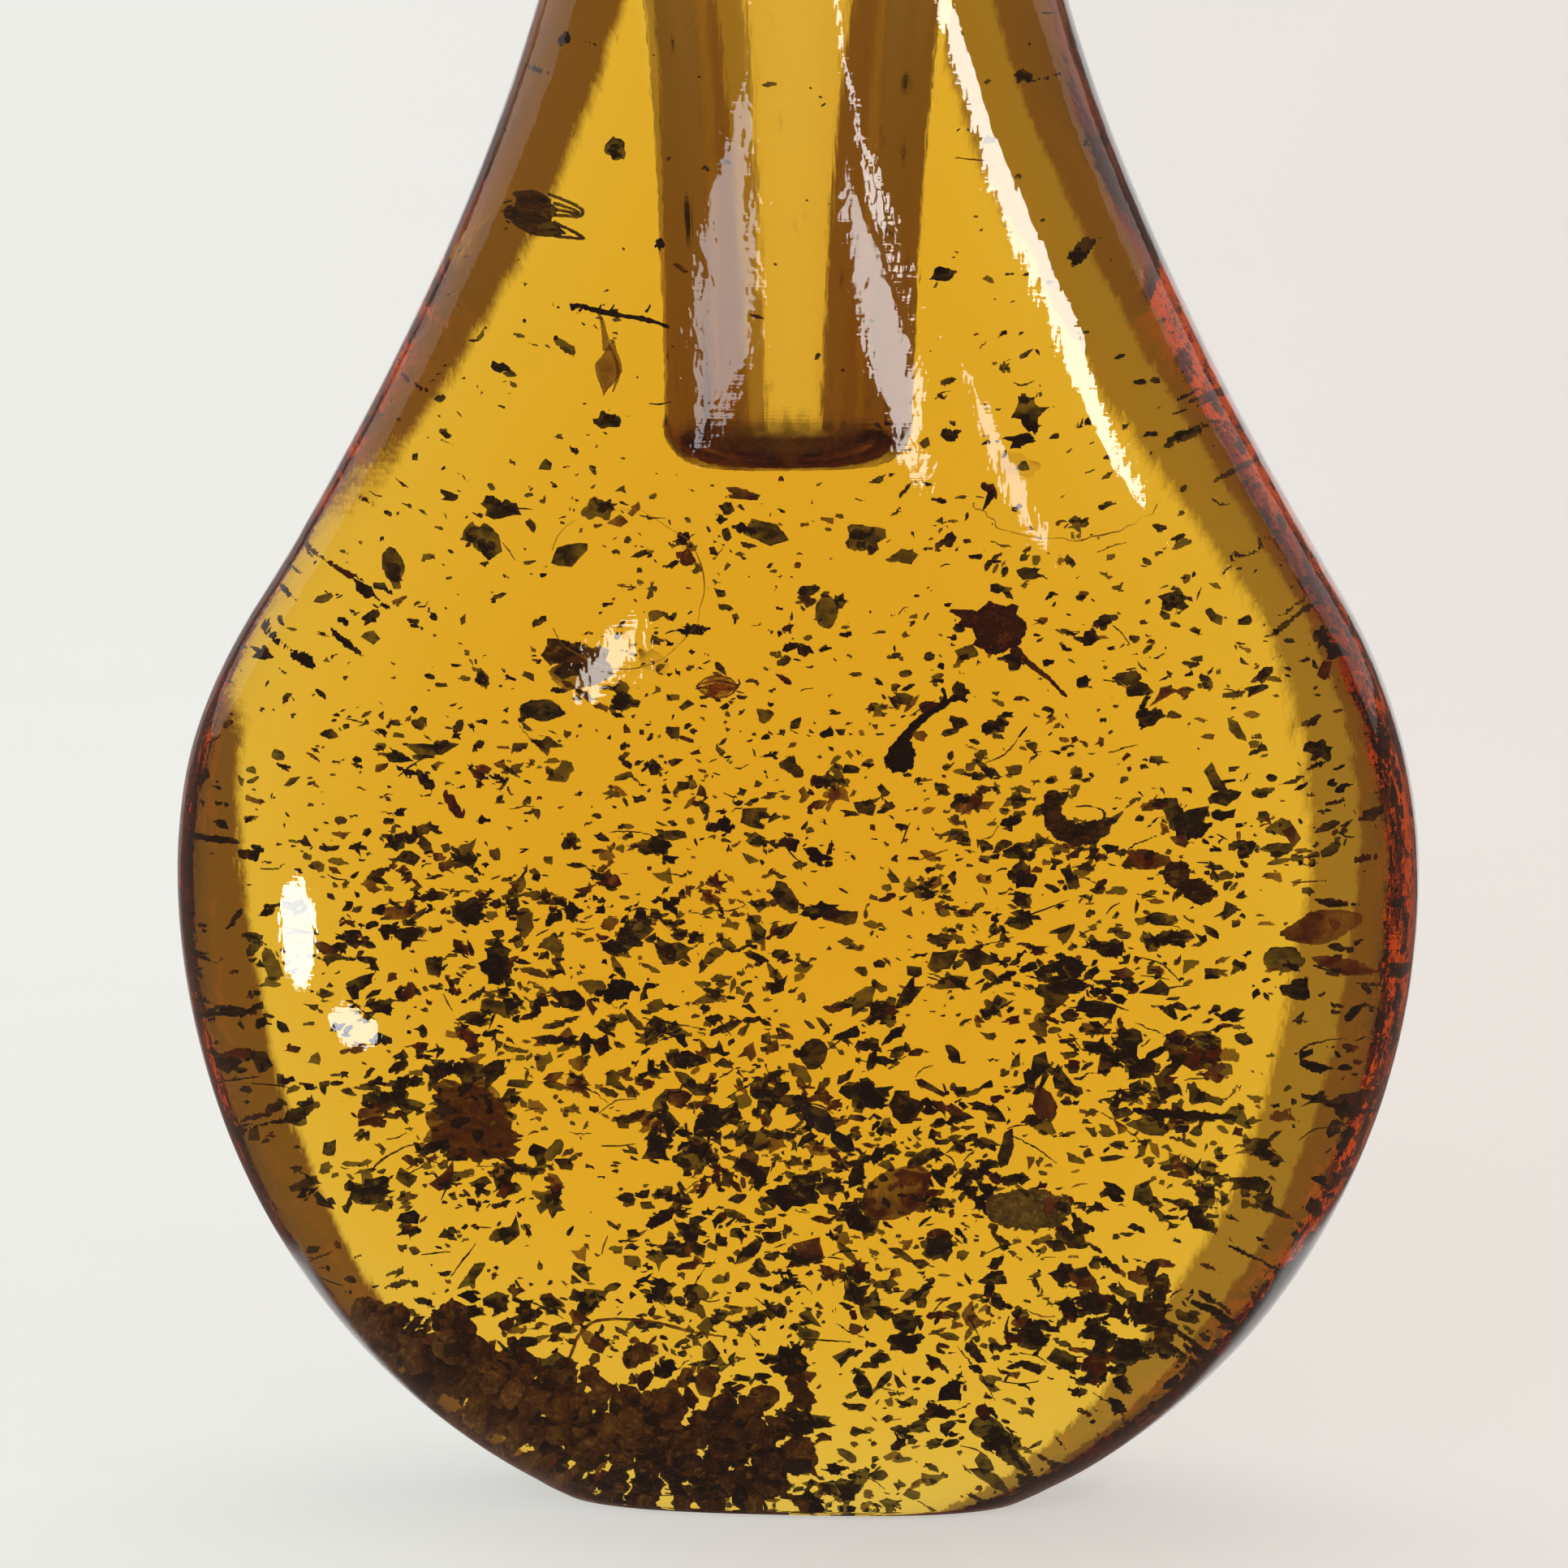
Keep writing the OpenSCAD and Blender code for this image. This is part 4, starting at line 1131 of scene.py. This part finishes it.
stopper = {
    "holeRadius": 1.13,       # a hair over the dowel's 1.1, so that wood and amber don't share a skin
    "capHole": 3.24,
    "edge": 0.35,             # how far the cap's lower edge is rounded
    "around": 120,
}


def rounded(points, steps=4):
    # a profile with its sharp corners cut by short arcs
    out = [points[0]]
    for before, (r, z), after in zip(points, points[1:], points[2:]):
        legs = [Vector((p[0] - r, p[1] - z)) for p in (before, after)]
        cut = min([0.16] + [leg.length * 0.3 for leg in legs])
        if r < 1.5 or legs[0].angle(legs[1], math.pi) > 2.9:
            out.append((r, z))
            continue
        start, end = (Vector((r, z)) + leg.normalized() * cut for leg in legs)
        for i in range(steps + 1):
            t = i / steps
            out.append(tuple(start * (1 - t) ** 2 + Vector((r, z)) * 2 * t * (1 - t) + end * t * t))
    return out + [points[-1]]


def makeStopper():
    rng = random.Random(19)
    hole, around = stopper["holeRadius"], stopper["around"]

    low, high = (np.array(corner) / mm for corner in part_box("stopper_cap"))
    radius, rise = (high[0] - low[0]) / 2, high[2] - low[2]
    dome = (radius**2 + rise**2) / (2 * rise)
    top = low[2] + stopper["capHole"]
    profile = [(0, top), (hole * 0.5, top), (hole, top), (hole, top - 1.1), (hole, top - 2.2),
               (hole, low[2])]
    profile += [(r, low[2]) for r in np.linspace(hole + 0.4, radius - stopper["edge"], 10)]
    for i in range(7):
        a = math.pi / 2 * i / 6
        profile.append((radius - stopper["edge"] * (1 - math.sin(a)),
                        low[2] + stopper["edge"] * (1 - math.cos(a))))
    start = math.asin((low[2] + stopper["edge"] - (high[2] - dome)) / dome)
    for i in range(1, 41):
        a = start + (math.pi / 2 - start) * i / 41
        profile.append((dome * math.cos(a) - 0.02, high[2] - dome + dome * math.sin(a)))
    profile.append((0, high[2]))
    cap = Heap().add(latheForm(profile, around, 0.05, 0.35))
    cap.finish("stopperCap", amberSurface("capAmber"), "stopper_cap", "clear_amber", "stopper", True)

    specks = Heap()
    for _ in range(70):
        r = radius * 0.8 * math.sqrt(rng.random())
        a = rng.uniform(0, 2 * math.pi)
        z = rng.uniform(0.5, rise * 0.85)
        if r < 1.9 and z < 4.2 or r * r + z * z > (radius * 0.9) ** 2:
            continue
        long = 0.22 * math.exp(rng.gauss(0, 0.6))
        specks.add(flakeForm(rng, long, long * 0.5, long * 0.25, 7, 0.6),
                   (r * math.cos(a), r * math.sin(a), low[2] + z),
                   (rng.uniform(-60, 60), rng.uniform(-60, 60), 0))
    specks.finish("capCrumbs", oliveChip, slot="olive_chip", body="stopper")

    low, high = (np.array(corner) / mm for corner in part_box("stopper_collar"))
    radius, half = (high[0] - low[0]) / 2, (high[2] - low[2]) / 2
    profile = [(0, low[2] + 0.02), (hole, low[2] + 0.02)]
    profile += [(r, low[2]) for r in np.linspace(hole + 0.3, radius - half, 14)]
    for i in range(1, 16):
        a = math.pi * i / 16 - math.pi / 2
        profile.append((radius - half + half * math.cos(a), low[2] + half + half * math.sin(a)))
    profile += [(r, high[2] - 0.01) for r in np.linspace(radius - half, hole + 0.3, 14)]
    profile += [(hole, high[2] - 0.02), (0, high[2] - 0.02)]
    horn = debrisSurface("darkHorn", (0.006, 0.0035, 0.002), (0.028, 0.014, 0.007), (0.10, 0.055, 0.028),
                         0.9, (0.25, 1, 2.5), 0.22, 0.02, gloss=0.55)
    collar = Heap().add(latheForm(profile, around, 0.03, 0.5))
    collar.finish("stopperCollar", horn, "stopper_collar", "dark_horn", "stopper", True)

    low, high = (np.array(corner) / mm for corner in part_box("stopper_cork"))
    radius, tip = (high[0] - low[0]) / 2, 1.2
    profile = [(0, low[2])] + [(r, low[2]) for r in np.linspace(0.6, radius - tip / 3, 12)]
    profile += [(radius - tip / 3 * (1 - t), low[2] + tip * t) for t in np.linspace(0.12, 1, 8)]
    profile += [(radius, z) for z in np.linspace(low[2] + tip, high[2], 54)[1:]]
    profile += [(r, high[2]) for r in (radius * 0.7, radius * 0.4, 1.5)] + [(0, high[2])]
    cork = Heap().add(latheForm(rounded(profile), around, 0.09, 2.2))
    cork.finish("stopperCork", corkSurface(), "stopper_cork", "cork", "stopper", True)

    wood = debrisSurface("dowelWood", (0.32, 0.19, 0.09), (0.47, 0.31, 0.16), (0.60, 0.43, 0.25), 1.6,
                         (3, 3, 0.25), 0.6, 0.03)
    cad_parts["stopper_dowel"].material_slots[0].material = wood


# cork: tan cells, darker lenticels running across and small open pores
def corkSurface():
    material, tree, out, place = newMaterial("cork")
    cells = addNode(tree, "ShaderNodeTexVoronoi", {}, {"Vector": place, "Scale": 2.6})
    mottle = speckle(tree, place, 0.8, 5, 0.65)
    lenticel = speckle(tree, place, 1.1, 4, 0.6, (1, 1, 0.3))
    pore = (lenticel - 0.56).rise(0, 0.07)
    colour = mottle.rise(0.35, 0.65).blend((0.36, 0.20, 0.09), (0.56, 0.36, 0.18))
    colour = cells.rise(0.25, 0.5).blend(colour, (0.44, 0.26, 0.12))
    colour = pore.blend(colour, (0.09, 0.04, 0.018))
    height = mottle * 0.4 + cells * 0.25 - pore * 0.8
    bump = addNode(tree, "ShaderNodeBump", {}, {"Height": height, "Distance": 0.12 * mm, "Strength": 1.0})
    shade = addNode(tree, "ShaderNodeBsdfPrincipled", {}, {
        "Base Color": colour, "Roughness": mottle * 0.2 + 0.72, "Specular IOR Level": 0.25, "Normal": bump})
    tree.links.new(shade.socket, out.inputs["Surface"])
    return material


makeStopper()
print("stopper built")
